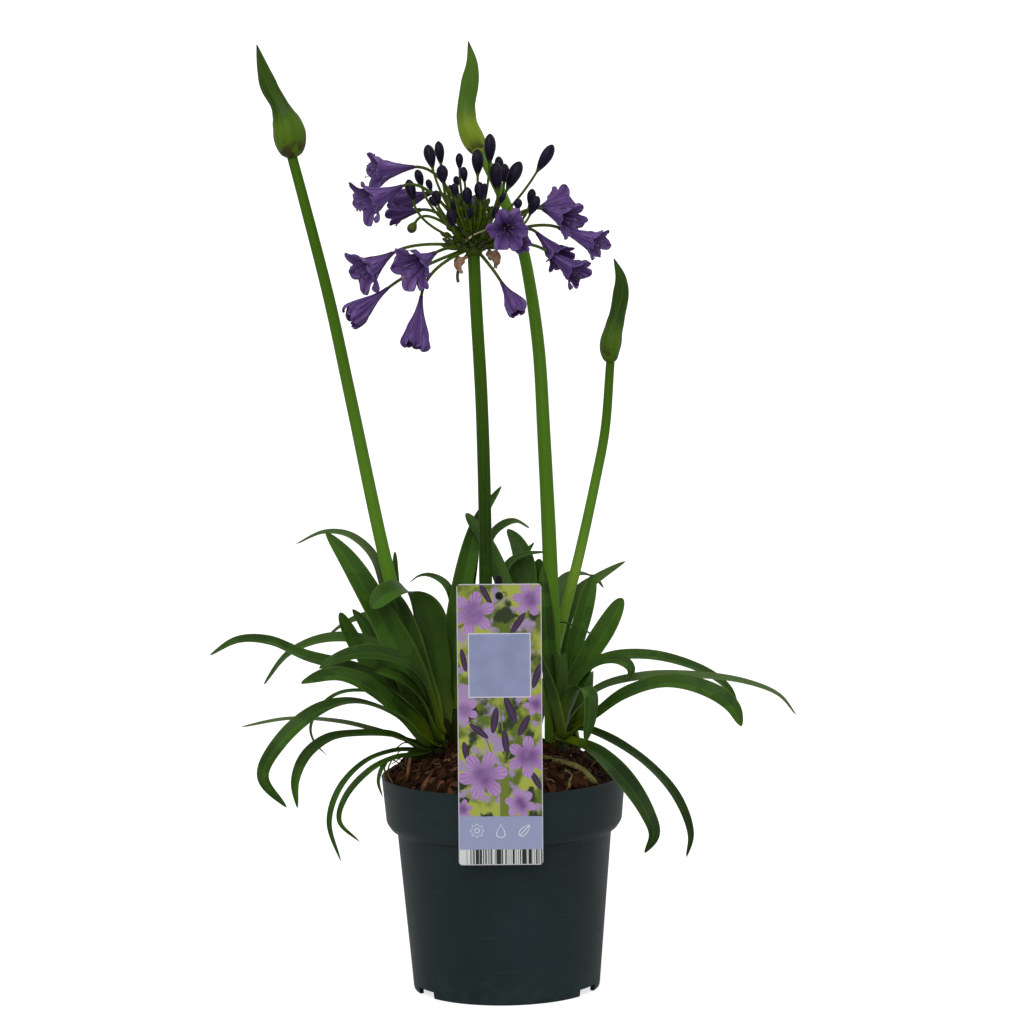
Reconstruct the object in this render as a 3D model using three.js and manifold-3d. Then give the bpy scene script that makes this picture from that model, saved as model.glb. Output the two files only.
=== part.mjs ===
// A potted agapanthus: four flower stems and six fans of strap leaves in a nursery pot of bark compost,
// with a care label on a plastic stake. One stem is in flower, the other three still carry closed sheaths.
// Millimetres, +Z up, origin at the centre of the pot's foot, -Y the side that the label hangs on.
import * as THREE from "three";
import { mergeVertices } from "three/addons/utils/BufferGeometryUtils.js";
import Module from "manifold-3d";

const wasm = await Module();
wasm.setup();

// ---- driving dimensions ----
const POT = { height: 168, rim: 95, shoulder: 83.4, foot: 72.5 };
const BAND = { top: 94.6, foot: 91.5, height: 43 }; // radii and height of the deep band under the rim
const WALL = 1.8; // thickness of the pot's moulded wall
const FLOOR = { under: 6, top: 8.5, skirt: 3.5, holes: 6, holeRadius: 5, holeCircle: 52 };
const NOTCH = { angles: [60, 180, 300], width: 23, height: 5.5 }; // drain notches, degrees from the front
const POT_SIDES = 32;

const SOIL = { edge: 166, rise: 24, radius: 90, chips: 15, chipSeed: 7 };
const GAP = 0.4; // clearance round whatever stands in the compost

const LABEL = { width: 64, height: 215, thick: 0.8, corner: 3, x: -0.8, y: -97, top: 329.8, lean: 0.5 };
const HOLE = { radius: 2.6, drop: 9 }; // the label's hole, measured down from its top edge
const STAKE = { width: 4.8, thick: 2.4, foot: 135, top: 336, footY: -83, topY: -93.4 };
const PIN = { radius: 2, head: 3, headThick: 1.6 }; // the stake's pin and the button on its end

const LEAF = { thick: 0.9, channel: 0.1 };
const STEP = { run: 48, bend: 32, fewest: 5, most: 10 }; // mm and degrees to one step along a blade
const HUB = new THREE.Vector3(-16, -10, 579); // where all the flower stalks meet

// ---- helpers ----
const V = (x, y, z) => new THREE.Vector3(x, y, z);
const rad = THREE.MathUtils.degToRad;
const lerp = THREE.MathUtils.lerp;

function seeded(seed) {
  let state = seed;
  return () => {
    state = (state * 1664525 + 1013904223) % 4294967296;
    return state / 4294967296;
  };
}

function solidOf(geometry) {
  const g = geometry.clone();
  g.deleteAttribute("normal");
  g.deleteAttribute("uv");
  const merged = mergeVertices(g, 1e-4);
  return new wasm.Manifold(
    new wasm.Mesh({
      numProp: 3,
      vertProperties: new Float32Array(merged.attributes.position.array),
      triVerts: new Uint32Array(merged.index.array),
    }),
  );
}

function geometryOf(solid) {
  const mesh = solid.getMesh();
  const g = new THREE.BufferGeometry();
  g.setAttribute("position", new THREE.BufferAttribute(new Float32Array(mesh.vertProperties), 3));
  g.setIndex(new THREE.BufferAttribute(new Uint32Array(mesh.triVerts), 1));
  return g;
}

const join = (solids) => solids.reduce((all, one) => all.add(one));
const largestOf = (solid) => solid.decompose().reduce((a, b) => (a.volume() > b.volume() ? a : b));

function indexed(points, triangles) {
  const g = new THREE.BufferGeometry();
  g.setAttribute("position", new THREE.Float32BufferAttribute(points.flatMap((p) => [p.x, p.y, p.z]), 3));
  g.setIndex(triangles);
  return g;
}

// A closed body through rings of equal size, each ring counter-clockwise as seen from its far end.
function loft(rings) {
  const n = rings[0].length;
  const points = rings.flat();
  const triangles = [];
  for (let j = 0; j < rings.length - 1; j++)
    for (let k = 0; k < n; k++) {
      const a = j * n + k;
      const b = j * n + ((k + 1) % n);
      triangles.push(a, b, b + n, a, b + n, a + n);
    }
  const last = (rings.length - 1) * n;
  for (let k = 1; k < n - 1; k++) {
    triangles.push(0, k + 1, k);
    triangles.push(last, last + k, last + k + 1);
  }
  return indexed(points, triangles);
}

// Rings of `sides` points round a centreline, with no twist between one ring and the next.
function ringsAlong(centres, radii, sides, flat = []) {
  let side = null;
  return centres.map((c, j) => {
    const before = centres[Math.max(j - 1, 0)];
    const after = centres[Math.min(j + 1, centres.length - 1)];
    const along = after.clone().sub(before).normalize();
    if (!side) side = Math.abs(along.y) < 0.9 ? V(0, 1, 0) : V(1, 0, 0);
    side = side.clone().addScaledVector(along, -side.dot(along)).normalize();
    const other = along.clone().cross(side);
    return Array.from({ length: sides }, (_, k) => {
      const a = (2 * Math.PI * k) / sides;
      return c
        .clone()
        .addScaledVector(side, Math.cos(a) * radii[j] * (flat[j] ?? 1))
        .addScaledVector(other, Math.sin(a) * radii[j]);
    });
  });
}

const curveOf = (points) => new THREE.CatmullRomCurve3(points.map((p) => V(...p)), false, "centripetal");

function tube(points, radiusAt, sides, steps, grow = 0) {
  const curve = curveOf(points);
  const centres = Array.from({ length: steps + 1 }, (_, j) => curve.getPointAt(j / steps));
  const radii = centres.map((_, j) => radiusAt(j / steps) + grow);
  return loft(ringsAlong(centres, radii, sides));
}

// ---- pot ----
function potGeometry() {
  const bandFootZ = POT.height - BAND.height;
  const outline = [
    [POT.foot - FLOOR.skirt, 0],
    [POT.foot - 0.4, 0],
    [POT.foot + 0.2, 2],
    [POT.shoulder, bandFootZ],
    [BAND.foot - 2.4, bandFootZ + 1.4],
    [BAND.foot, bandFootZ + 6],
    [BAND.top, POT.height - 2.5],
    [POT.rim, POT.height - 1.2],
    [POT.rim - 0.5, POT.height],
    [POT.rim - 2.2, POT.height],
    [BAND.foot - WALL, bandFootZ + 7],
    [POT.shoulder - WALL, bandFootZ + 2],
    [POT.foot - WALL, FLOOR.top],
    [0, FLOOR.top],
    [0, FLOOR.under],
    [POT.foot - FLOOR.skirt, FLOOR.under],
    [POT.foot - FLOOR.skirt, 0],
  ].map(([r, z]) => new THREE.Vector2(r, z));
  const turned = new THREE.LatheGeometry(outline, POT_SIDES).rotateX(Math.PI / 2);
  let pot = solidOf(turned);
  for (const angle of NOTCH.angles) {
    const notch = new THREE.BoxGeometry(NOTCH.width, 14, NOTCH.height * 2).translate(0, -POT.foot + 1, 0);
    pot = pot.subtract(solidOf(notch.rotateZ(rad(angle))));
  }
  for (let k = 0; k < FLOOR.holes; k++) {
    const hole = new THREE.CylinderGeometry(FLOOR.holeRadius, FLOOR.holeRadius, 12, 10).rotateX(Math.PI / 2);
    hole.translate(FLOOR.holeCircle, 0, FLOOR.top).rotateZ((k * 2 * Math.PI) / FLOOR.holes);
    pot = pot.subtract(solidOf(hole));
  }
  return geometryOf(pot);
}

// ---- compost ----
const soilHeight = (r) => SOIL.edge + SOIL.rise * (1 - Math.pow(Math.min(r / SOIL.radius, 1), 4));

function soilSolid() {
  const rows = [0, 18, 36, 53, 68, 81, 91.6];
  const draw = seeded(SOIL.chipSeed);
  const sides = 24;
  const foot = [POT.foot - WALL - GAP, FLOOR.top + GAP];
  const bandFootZ = POT.height - BAND.height;
  const rings = [
    [foot[0], foot[1], 0],
    [POT.shoulder - WALL - GAP - 0.6, bandFootZ + 1.5, 0],
    [BAND.foot - WALL - GAP - 0.8, bandFootZ + 8.5, 0],
    ...rows.slice(1).reverse().map((r) => [r, soilHeight(r), r < 90 ? 2.4 : 0.6]),
  ].map(([r, z, rough]) =>
    Array.from({ length: sides }, (_, k) => {
      const a = (2 * Math.PI * (k + (rough ? 0.5 * draw() : 0))) / sides;
      const wall = Math.min(r, 91.2);
      return V(wall * Math.cos(a), wall * Math.sin(a), z + rough * (draw() - 0.5));
    }),
  );
  let soil = solidOf(loft(rings));
  for (let k = 0; k < SOIL.chips; k++) {
    const r = 84 * Math.sqrt((k + 0.5) / SOIL.chips);
    const a = k * 2.39996;
    const chip = new THREE.BoxGeometry(7 + 9 * draw(), 4 + 4 * draw(), 3 + 2 * draw());
    chip.rotateX((draw() - 0.5) * 0.9).rotateY((draw() - 0.5) * 0.9).rotateZ(draw() * Math.PI);
    chip.translate(r * Math.cos(a), r * Math.sin(a), soilHeight(r) + 0.6);
    soil = soil.add(solidOf(chip));
  }
  return soil;
}

// ---- leaves ----
// Each blade: the way its centreline runs after leaving the sheath, its widest width, and how far its
// upper face is rolled, in degrees, at even steps from the sheath to the tip. `blunt` rounds the tip,
// `cut` ends the blade square, and `taper` sets how late it narrows.
const SHOOTS = {
  shoot_left_front: {
    at: [-50, 0],
    radius: [10, 8],
    blades: [
      {
        way: [
          [-58, -6, 210], [-78, -13, 263], [-98, -16, 305], [-117, -15, 339], [-134, -11, 361],
        ],
        width: 21,
        face: [70, 72],
        taper: 1.9,
      },
      {
        way: [
          [-54, 4, 209], [-61, 5, 234], [-70, 5, 265], [-78, 5, 291], [-84, 7, 310],
        ],
        width: 22,
        face: [74, 74],
        blunt: true,
      },
      {
        way: [
          [-61, -14, 216], [-90, -26, 246], [-120, -42, 262], [-150, -54, 273], [-177, -64, 287],
          [-200, -71, 287], [-221, -76, 276],
        ],
        width: 14,
        face: [50, 42, 30],
      },
      {
        way: [
          [-63, -28, 247], [-83, -44, 267], [-108, -52, 272], [-127, -58, 268], [-139, -60, 262],
        ],
        width: 18,
        face: [40, 34, 40],
      },
      {
        way: [
          [-58, -14, 199], [-80, -42, 225], [-104, -62, 248], [-127, -72, 258], [-152, -80, 254],
        ],
        width: 24,
        face: [55, 50, 30],
      },
      {
        way: [
          [-53, -14, 205], [-66, -34, 238], [-82, -47, 253], [-97, -54, 258],
        ],
        width: 17,
        face: [50, 45],
      },
      {
        way: [
          [-60, -20, 195], [-82, -50, 223], [-112, -76, 239], [-139, -94, 238], [-168, -104, 217],
          [-181, -107, 189], [-164, -104, 163],
        ],
        width: 15,
        face: [12, 20, 48],
      },
      {
        way: [
          [-60, -14, 190], [-83, -38, 205], [-109, -56, 210], [-133, -69, 209], [-150, -76, 197],
          [-158, -80, 179], [-157, -80, 158],
        ],
        width: 11,
        face: [10, 24, 45],
      },
      {
        way: [
          [-68, -9, 195], [-97, -18, 206], [-125, -28, 215], [-163, -39, 220], [-200, -48, 216],
        ],
        width: 7,
        face: [22, 18],
      },
      {
        way: [
          [-61, -12, 190], [-83, -22, 191], [-106, -34, 185], [-126, -46, 166], [-134, -51, 141],
          [-126, -52, 111],
        ],
        width: 7,
        face: [10, 20, 42],
      },
      {
        way: [
          [-60, -17, 188], [-83, -31, 187], [-102, -44, 180], [-121, -53, 161], [-126, -56, 143],
          [-111, -58, 127],
        ],
        width: 7,
        face: [10, 20, 42],
      },
      {
        way: [
          [-66, -14, 187], [-80, -24, 186], [-91, -38, 184], [-96, -46, 172], [-93, -50, 160],
        ],
        width: 4,
        face: [0, 20, 40],
      },
    ],
  },
  shoot_left_back: {
    at: [-60, 34],
    radius: [8, 7],
    blades: [
      {
        way: [
          [-70, 34, 214], [-92, 35, 235], [-111, 37, 260], [-121, 38, 279], [-126, 38, 291],
        ],
        width: 13,
        face: [68, 74],
        blunt: true,
      },
      {
        way: [
          [-70, 48, 217], [-82, 50, 235], [-96, 54, 258], [-108, 59, 279], [-117, 62, 290],
        ],
        width: 15,
        face: [66, 70],
      },
      {
        way: [
          [-74, 54, 226], [-83, 61, 257], [-94, 69, 278], [-108, 77, 281], [-126, 83, 274],
          [-143, 88, 261],
        ],
        width: 11,
        face: [50, 30, 24],
      },
      {
        way: [
          [-72, 38, 225], [-86, 45, 256], [-107, 52, 266], [-139, 57, 267], [-167, 58, 257],
          [-188, 58, 232],
        ],
        width: 10,
        face: [34, 22, 32],
      },
      {
        way: [
          [-68, 26, 205], [-90, 24, 226], [-110, 24, 231], [-128, 24, 229], [-142, 23, 219],
          [-150, 22, 200], [-146, 20, 186],
        ],
        width: 5,
        face: [20, 20],
      },
      {
        way: [
          [-71, 34, 229], [-83, 38, 273], [-91, 41, 308], [-100, 48, 334], [-118, 58, 349],
          [-138, 66, 351], [-161, 76, 341],
        ],
        width: 10,
        face: [46, 34, 22],
      },
      { way: [[-70, 56, 214], [-76, 84, 228], [-74, 112, 198]], width: 15, face: [0] },
      { way: [[-60, 60, 216], [-52, 90, 238], [-46, 113, 210]], width: 15, face: [0] },
    ],
  },
  shoot_centre_left: {
    at: [-36, 38],
    radius: [8, 7],
    blades: [
      {
        way: [
          [-47, 34, 220], [-51, 24, 258], [-55, 8, 288], [-64, -8, 308], [-75, -20, 316],
          [-87, -28, 314], [-99, -34, 304],
        ],
        width: 25,
        face: [-40, -42, -45, -45, -20, 0, 10],
      },
      {
        way: [
          [-39, 40, 220], [-36, 41, 267], [-27, 42, 322], [-15, 43, 363], [2, 43, 388],
        ],
        width: 22,
        face: [74, 74],
        taper: 2,
      },
      { way: [[-33, 52, 218], [-28, 53, 281], [-21, 54, 321], [-17, 55, 337]], width: 10, face: [66, 66] },
      {
        way: [
          [-39, 58, 257], [-38, 62, 296], [-44, 65, 309], [-56, 69, 315], [-65, 72, 314],
          [-72, 74, 309],
        ],
        width: 8,
        face: [60, 40, 24],
      },
    ],
  },
  shoot_back: {
    at: [2, 50],
    radius: [9, 8],
    blades: [
      {
        way: [
          [5, 40, 259], [3, 37, 305], [-7, 36, 334], [-16, 35, 354], [-25, 35, 368],
        ],
        width: 15,
        face: [60, 60],
        blunt: true,
      },
      {
        way: [
          [-6, 58, 264], [-10, 66, 311], [-8, 74, 344], [3, 80, 355], [13, 85, 354], [23, 90, 350],
        ],
        width: 9,
        face: [0, 10, 24],
      },
      {
        way: [
          [18, 62, 248], [20, 66, 295], [19, 70, 325], [13, 73, 341], [6, 75, 350],
        ],
        width: 14,
        face: [-20, -8, 0],
      },
      {
        way: [
          [2, 48, 265], [1, 47, 305], [7, 47, 325], [17, 48, 332], [36, 49, 335],
        ],
        width: 13,
        face: [70, 62, 20],
      },
      { way: [[7, 58, 264], [4, 58, 300], [11, 59, 320], [27, 60, 341]], width: 11, face: [62, 58] },
      {
        way: [
          [25, 66, 247], [28, 70, 291], [29, 73, 312], [30, 75, 326],
        ],
        width: 12,
        face: [30, 30],
        blunt: true,
      },
      { way: [[-4, 68, 220], [-14, 92, 240], [-22, 114, 205]], width: 16, face: [0] },
      { way: [[16, 66, 214], [34, 92, 222], [46, 114, 180]], width: 15, face: [0] },
    ],
  },
  shoot_right_front: {
    at: [44, -8],
    radius: [10, 8],
    blades: [
      { way: [[45, -19, 222], [46, -25, 244], [45, -30, 265]], width: 12, face: [0, 0], cut: true },
      {
        way: [
          [50, -22, 222], [55, -32, 236], [62, -44, 241], [67, -52, 237], [67, -56, 222],
          [63, -57, 201],
        ],
        width: 14,
        face: [0, 4],
      },
      {
        way: [
          [51, -4, 220], [60, -9, 243], [75, -15, 256], [90, -22, 259], [99, -27, 253], [98, -28, 244],
        ],
        width: 17,
        face: [44, 38, 44],
      },
      {
        way: [
          [57, -18, 205], [73, -30, 217], [95, -44, 235], [128, -57, 246], [159, -66, 239],
          [175, -70, 228], [181, -72, 216],
        ],
        width: 15,
        face: [26, 34, 44],
      },
      {
        way: [
          [52, -2, 212], [75, -7, 234], [107, -15, 244], [145, -23, 246], [187, -29, 241],
          [213, -33, 231], [226, -35, 216],
        ],
        width: 10,
        face: [32, 26, 20],
      },
      {
        way: [
          [52, -30, 196], [71, -52, 192], [93, -79, 174], [108, -98, 153], [113, -104, 138],
          [106, -106, 124],
        ],
        width: 17,
        face: [4, 10, 18],
      },
      {
        way: [
          [54, -16, 205], [79, -31, 200], [109, -50, 183], [132, -63, 158], [142, -68, 131],
          [139, -69, 113],
        ],
        width: 11,
        face: [10, 14, 24],
      },
      { way: [[40, -10, 229], [36, -10, 265], [34, -10, 304], [33, -8, 331]], width: 15, face: [78, 78] },
      { way: [[41, -22, 214], [37, -27, 235], [30, -33, 260], [22, -38, 286]], width: 20, face: [34, 34] },
    ],
  },
  shoot_right_back: {
    at: [54, 32],
    radius: [9, 7],
    blades: [
      {
        way: [
          [51, 32, 228], [57, 33, 259], [65, 34, 290], [73, 36, 316],
        ],
        width: 16,
        face: [74, 74],
        blunt: true,
      },
      {
        way: [
          [57, 20, 231], [68, 18, 255], [83, 19, 279], [95, 21, 301],
        ],
        width: 18,
        face: [76, 76],
        blunt: true,
      },
      {
        way: [
          [50, 57, 240], [54, 62, 276], [64, 66, 297], [79, 70, 312], [99, 74, 323],
        ],
        width: 14,
        face: [40, 40],
      },
      {
        way: [
          [49, 62, 248], [44, 73, 286], [49, 82, 307], [59, 88, 313], [73, 93, 310], [82, 97, 300],
        ],
        width: 13,
        face: [8, 18, 14],
      },
      {
        way: [
          [53, 26, 221], [64, 18, 246], [84, 10, 259], [119, 1, 261], [157, -7, 250], [176, -12, 235],
          [182, -15, 220],
        ],
        width: 14,
        face: [36, 12, 26],
      },
      {
        way: [
          [42, 38, 235], [38, 40, 269], [45, 37, 280], [57, 20, 280], [68, 10, 276], [77, 6, 269],
        ],
        width: 4,
        face: [0],
      },
      { way: [[62, 52, 212], [66, 84, 232], [62, 114, 205]], width: 15, face: [0] },
      { way: [[47, 54, 214], [42, 88, 238], [36, 113, 212]], width: 16, face: [0] },
    ],
  },
};

// A value read off a short list spread evenly over a blade's length.
function along(list, s) {
  const at = s * (list.length - 1);
  const k = Math.min(Math.floor(at), list.length - 2);
  return list.length === 1 ? list[0] : lerp(list[k], list[k + 1], at - k);
}

// The blade's half width at share s of its length: a clasping foot, then the blade, then its tip.
function halfWidth(blade, s) {
  const foot = lerp(0.55, 1, THREE.MathUtils.smoothstep(s, 0, 0.35));
  if (blade.cut) return (blade.width / 2) * lerp(0.4, 1, s);
  const [late, round] = blade.blunt ? [6, 0.6] : [blade.taper ?? 3, 0.9];
  const tip = Math.pow(1 - Math.pow(s, late), round);
  return Math.max((blade.width / 2) * foot * tip, 0.45);
}

// Stops along a curve that lie closer together where it bends, with one close behind the tip.
function stopsAlong(curve) {
  const fine = 60;
  const share = [0];
  let before = curve.getTangentAt(0);
  for (let j = 1; j <= fine; j++) {
    const here = curve.getTangentAt(j / fine);
    const turned = THREE.MathUtils.radToDeg(before.angleTo(here));
    share.push(share[j - 1] + curve.getLength() / fine / STEP.run + turned / STEP.bend);
    before = here;
  }
  const steps = THREE.MathUtils.clamp(Math.round(share[fine]), STEP.fewest, STEP.most);
  return Array.from({ length: steps + 1 }, (_, k) => {
    if (k === steps - 1) return 0.93;
    const want = (k * share[fine]) / steps;
    const j = Math.max(share.findIndex((v) => v >= want - 1e-9), 1);
    return THREE.MathUtils.clamp((j - (share[j] - want) / (share[j] - share[j - 1])) / fine, 0, 1);
  });
}

// A channelled strap: three points across its upper face and three across its lower face at each stop.
function strapGeometry(curve, stops, level, widthAt, rollAt) {
  const points = [];
  for (const s of stops) {
    const centre = curve.getPointAt(s);
    const ahead = curve.getTangentAt(s);
    const across = level.clone().addScaledVector(ahead, -level.dot(ahead)).normalize();
    across.applyAxisAngle(ahead, rad(rollAt(s)));
    const up = across.clone().cross(ahead);
    const half = widthAt(s);
    for (const lower of [0, 1])
      for (const k of [-1, 0, 1]) {
        const rise = Math.abs(k) * LEAF.channel * 2 * half - lower * LEAF.thick;
        points.push(centre.clone().addScaledVector(across, k * half).addScaledVector(up, rise));
      }
  }
  const steps = stops.length - 1;
  const triangles = [];
  for (let j = 0; j < steps; j++) {
    const a = 6 * j;
    const b = a + 6;
    for (const k of [0, 1]) {
      triangles.push(a + k, a + k + 1, b + k + 1, a + k, b + k + 1, b + k);
      triangles.push(a + k + 3, b + k + 4, a + k + 4, a + k + 3, b + k + 3, b + k + 4);
    }
    triangles.push(a, b + 3, a + 3, a, b, b + 3);
    triangles.push(a + 2, a + 5, b + 5, a + 2, b + 5, b + 2);
  }
  const e = 6 * steps;
  for (const k of [0, 1]) {
    triangles.push(k, k + 4, k + 1, k, k + 3, k + 4);
    triangles.push(e + k, e + k + 1, e + k + 4, e + k, e + k + 4, e + k + 3);
  }
  return indexed(points, triangles);
}

function bladeGeometry(shoot, blade) {
  const [x, y] = shoot.at;
  const curve = curveOf([[x, y, soilHeight(Math.hypot(x, y)) + 5], ...blade.way]);
  const tip = blade.way[blade.way.length - 1];
  const run = V(tip[0] - x, tip[1] - y, 0).normalize();
  const sign = run.x < 0 ? -1 : 1;
  const level = V(run.y, -run.x, 0);
  const rollAt = (s) => sign * along(blade.face, s);
  return strapGeometry(curve, stopsAlong(curve), level, (s) => halfWidth(blade, s), rollAt);
}

// The pale sheath that the leaf feet clasp, standing in its own hole in the compost.
function sheathGeometry(shoot, grow = 0) {
  const [x, y] = shoot.at;
  const ground = soilHeight(Math.hypot(x, y));
  const levels = [
    [-26, 0.9],
    [4, 1],
    [18, 0.72],
  ];
  const rings = levels.map(([dz, share]) =>
    Array.from({ length: 8 }, (_, k) => {
      const a = (Math.PI * (k + 0.5)) / 4;
      return V(
        x + (shoot.radius[0] * share + grow) * Math.cos(a),
        y + (shoot.radius[1] * share + grow) * Math.sin(a),
        ground + dz,
      );
    }),
  );
  return loft(rings);
}

function shootSolid(shoot) {
  const blades = shoot.blades.map((blade) => solidOf(bladeGeometry(shoot, blade)));
  return join([solidOf(sheathGeometry(shoot)), ...blades]).simplify(0.06);
}

// ---- flower stems and their closed sheaths ----
const STEMS = {
  stem_left: {
    way: [
      [-52, 18, 150], [-54, 18, 185], [-71, 19, 259], [-89, 20, 334], [-113, 15, 460], [-128, 11, 538],
      [-146, 6, 616], [-154, 4, 648],
    ],
    radius: [5.8, 3.9],
  },
  stem_flowering: {
    way: [
      [-13, 23, 150], [-13, 22, 191], [-12, 19, 270], [-11, 14, 365], [-12, 4, 459], [-15, -6, 537],
      [-16, -10, 571],
    ],
    radius: [5.1, 4.8],
  },
  stem_right_tall: {
    way: [
      [39, 15, 150], [39, 16, 191], [40, 24, 268], [39, 30, 331], [36, 42, 424], [33, 56, 493],
      [27, 66, 543], [21, 72, 574], [9, 80, 609], [-4, 87, 644],
    ],
    radius: [6, 4],
  },
  stem_right_short: {
    way: [
      [21, 52, 150], [24, 52, 186], [36, 51, 233], [48, 50, 280], [61, 52, 327], [76, 57, 390],
      [84, 60, 429], [89, 64, 481],
    ],
    radius: [5, 3.4],
  },
};
const STEM_SIDES = 8;

function stemGeometry(stem, grow = 0) {
  return tube(stem.way, (s) => lerp(...stem.radius, s), STEM_SIDES, stem.way.length + 1, grow);
}

// A closed sheath: a swollen foot over the young flower head, drawn out into a flat curved beak.
const SHEATHS = {
  bud_sheath_left: {
    way: [
      [-154, 4, 648.9], [-155, 4, 660], [-157, 4, 672], [-163, 4, 689], [-170, 4, 702], [-175, 3, 718],
      [-179, 2, 735],
    ],
    swell: 11.9,
    beak: 6.3,
  },
  bud_sheath_tall: {
    way: [
      [-4.5, 87.2, 644.8], [-9, 88, 656], [-16, 89, 669], [-20, 90, 681], [-20, 90, 699],
      [-17, 90, 717], [-18, 90, 735],
    ],
    swell: 9,
    beak: 6.8,
  },
  bud_sheath_short: {
    way: [
      [89.1, 64, 481.9], [89, 64, 492], [91, 65, 504], [95, 65, 519], [98, 66, 535], [98, 66, 548],
      [93, 67, 563],
    ],
    swell: 7.8,
    beak: 6,
  },
};
const SHEATH_SIDES = 8;
// Share of the length, and half width there as a share of the swelling and of the beak.
const SHEATH_SHAPE = [
  [0, 0.36, 0],
  [0.035, 0.72, 0],
  [0.1, 0.93, 0],
  [0.19, 1, 0],
  [0.29, 0.9, 0],
  [0.38, 0.3, 0.7],
  [0.48, 0, 0.98],
  [0.66, 0, 1],
  [0.78, 0, 0.76],
  [0.9, 0, 0.42],
  [1, 0, 0.1],
];

function sheathBudGeometry(sheath) {
  const curve = curveOf(sheath.way);
  const centres = SHEATH_SHAPE.map(([s]) => curve.getPointAt(s));
  const radii = SHEATH_SHAPE.map(([, bulb, beak]) => bulb * sheath.swell + beak * sheath.beak);
  const flat = SHEATH_SHAPE.map(([s]) => lerp(1, 0.42, THREE.MathUtils.smoothstep(s, 0.25, 0.55)));
  return loft(ringsAlong(centres, radii, SHEATH_SIDES, flat));
}

// ---- flower head ----
// Outer buds: where the stalk ends, the bud's tip, and its width.
const BUDS = [
  [[-46, -8, 638], [-50, -8, 657], 8.2], [[-40, 6, 640], [-42, 8, 659], 6.7],
  [[-38, -22, 627], [-39, -23, 642], 8.2], [[-55, 16, 623], [-59, 18, 637], 6.3],
  [[-61, -14, 613], [-65, -14, 631], 7.4], [[-48, 24, 620], [-51, 26, 629], 4.8],
  [[-42, -28, 611], [-44, -30, 623], 6.7], [[-26, 20, 636], [-26, 22, 649], 5.5],
  [[-22, 8, 626], [-23, 10, 639], 5.6], [[-28, 30, 622], [-29, 32, 631], 4.7],
  [[-29, -26, 617], [-30, -27, 628], 5.6], [[-12, -8, 632], [-12, -8, 653], 8.5],
  [[-3, 6, 640], [-2, 8, 664], 8.5], [[5, 20, 632], [4, 22, 646], 6.4],
  [[3, -20, 621], [2, -22, 643], 9.6], [[8, 4, 625], [9, 5, 641], 6.5],
  [[10, -12, 621], [21, -12, 643], 9.3], [[33, 0, 634], [46, 1, 655], 8.2],
  [[27, 12, 608], [30, 14, 621], 6.2], [[27, -20, 602], [34, -21, 617], 7.1],
  [[18, -34, 607], [19, -36, 616], 5.9], [[-20, -24, 610], [-20, -26, 625], 7.1],
  [[-10, -26, 613], [-11, -28, 629], 7.4], [[-31, -30, 594], [-33, -34, 609], 7.4],
];
const INNER_BUDS = { count: 7, cone: 46, reach: [24, 44], length: [8, 13], width: [4.6, 6], seed: 11 };
const STALK = { radius: 1.25, core: 8 };

// Open flowers: the end of the stalk, the middle of the mouth, half the mouth's width, the flower's length,
// and how far up the notches between its lobes start. The spent ones hang nearly closed.
const FLOWERS = {
  flower_01: { from: [-61, -6, 640], to: [-96, -16, 638], mouth: 14, long: 42 },
  flower_02: { from: [-70, -20, 626], to: [-105, -40, 611], mouth: 17, long: 42 },
  flower_03: { from: [-49, 32, 618], to: [-81, 54, 608], mouth: 13, long: 38 },
  flower_04: { from: [-57, 16, 606], to: [-79, 28, 602], mouth: 9, long: 30 },
  flower_05: { from: [-78, -18, 574], to: [-102, -36, 559], mouth: 16.5, long: 41 },
  flower_06: { from: [-45, -38, 576], to: [-66, -62, 563], mouth: 17.5, long: 39 },
  flower_07: { from: [-82, -30, 549], to: [-111, -42, 527], mouth: 8, long: 44, notch: 0.9 },
  flower_08: { from: [-56, -46, 544], to: [-62, -50, 504], mouth: 10, long: 46, notch: 0.9 },
  flower_09: { from: [9, -46, 596], to: [11, -80, 596], mouth: 16.5, long: 34 },
  flower_10: { from: [16, -34, 582], to: [20, -50, 583], mouth: 7.5, long: 22 },
  flower_11: { from: [38, -6, 607], to: [60, -30, 605], mouth: 13.5, long: 39 },
  flower_12: { from: [50, -14, 592], to: [84, -35, 579], mouth: 14, long: 43 },
  flower_13: { from: [33, -26, 588], to: [72, -46, 556], mouth: 14, long: 50 },
  flower_14: { from: [38, 4, 582], to: [62, -6, 566], mouth: 11, long: 40 },
  flower_15: { from: [5, -28, 552], to: [18, -36, 530], mouth: 8.5, long: 31, notch: 0.9 },
  flower_16: { from: [35, 22, 606], to: [52, 46, 608], mouth: 13, long: 36 },
  flower_17: { from: [-14, 34, 600], to: [-20, 64, 602], mouth: 13, long: 36 },
  flower_18: { from: [7, 30, 588], to: [12, 62, 590], mouth: 13, long: 36 },
};

// A stalk that arches from the hub to its end, and the closed bud that it may carry there.
function stalkGeometry(end, radius, heading, bud = [], sides = 3) {
  const out = V(...end).sub(HUB);
  const start = HUB.clone().addScaledVector(out, 0.04);
  const aim = V(...end).addScaledVector(heading, -out.length() * 0.35);
  const curve = new THREE.QuadraticBezierCurve3(start, aim, V(...end));
  const centres = [0, 0.5, 1].map((s) => curve.getPoint(s));
  const radii = [radius, radius, radius];
  for (const [along, swell] of bud) {
    centres.push(V(...end).addScaledVector(heading, along));
    radii.push(swell);
  }
  return loft(ringsAlong(centres, radii, sides));
}

const BUD_SHAPE = [
  [0.28, 0.7],
  [0.6, 1],
  [0.86, 0.76],
  [1, 0.22],
];
const budRings = (length, width) => BUD_SHAPE.map(([s, r]) => [s * length, (r * width) / 2]);

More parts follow.
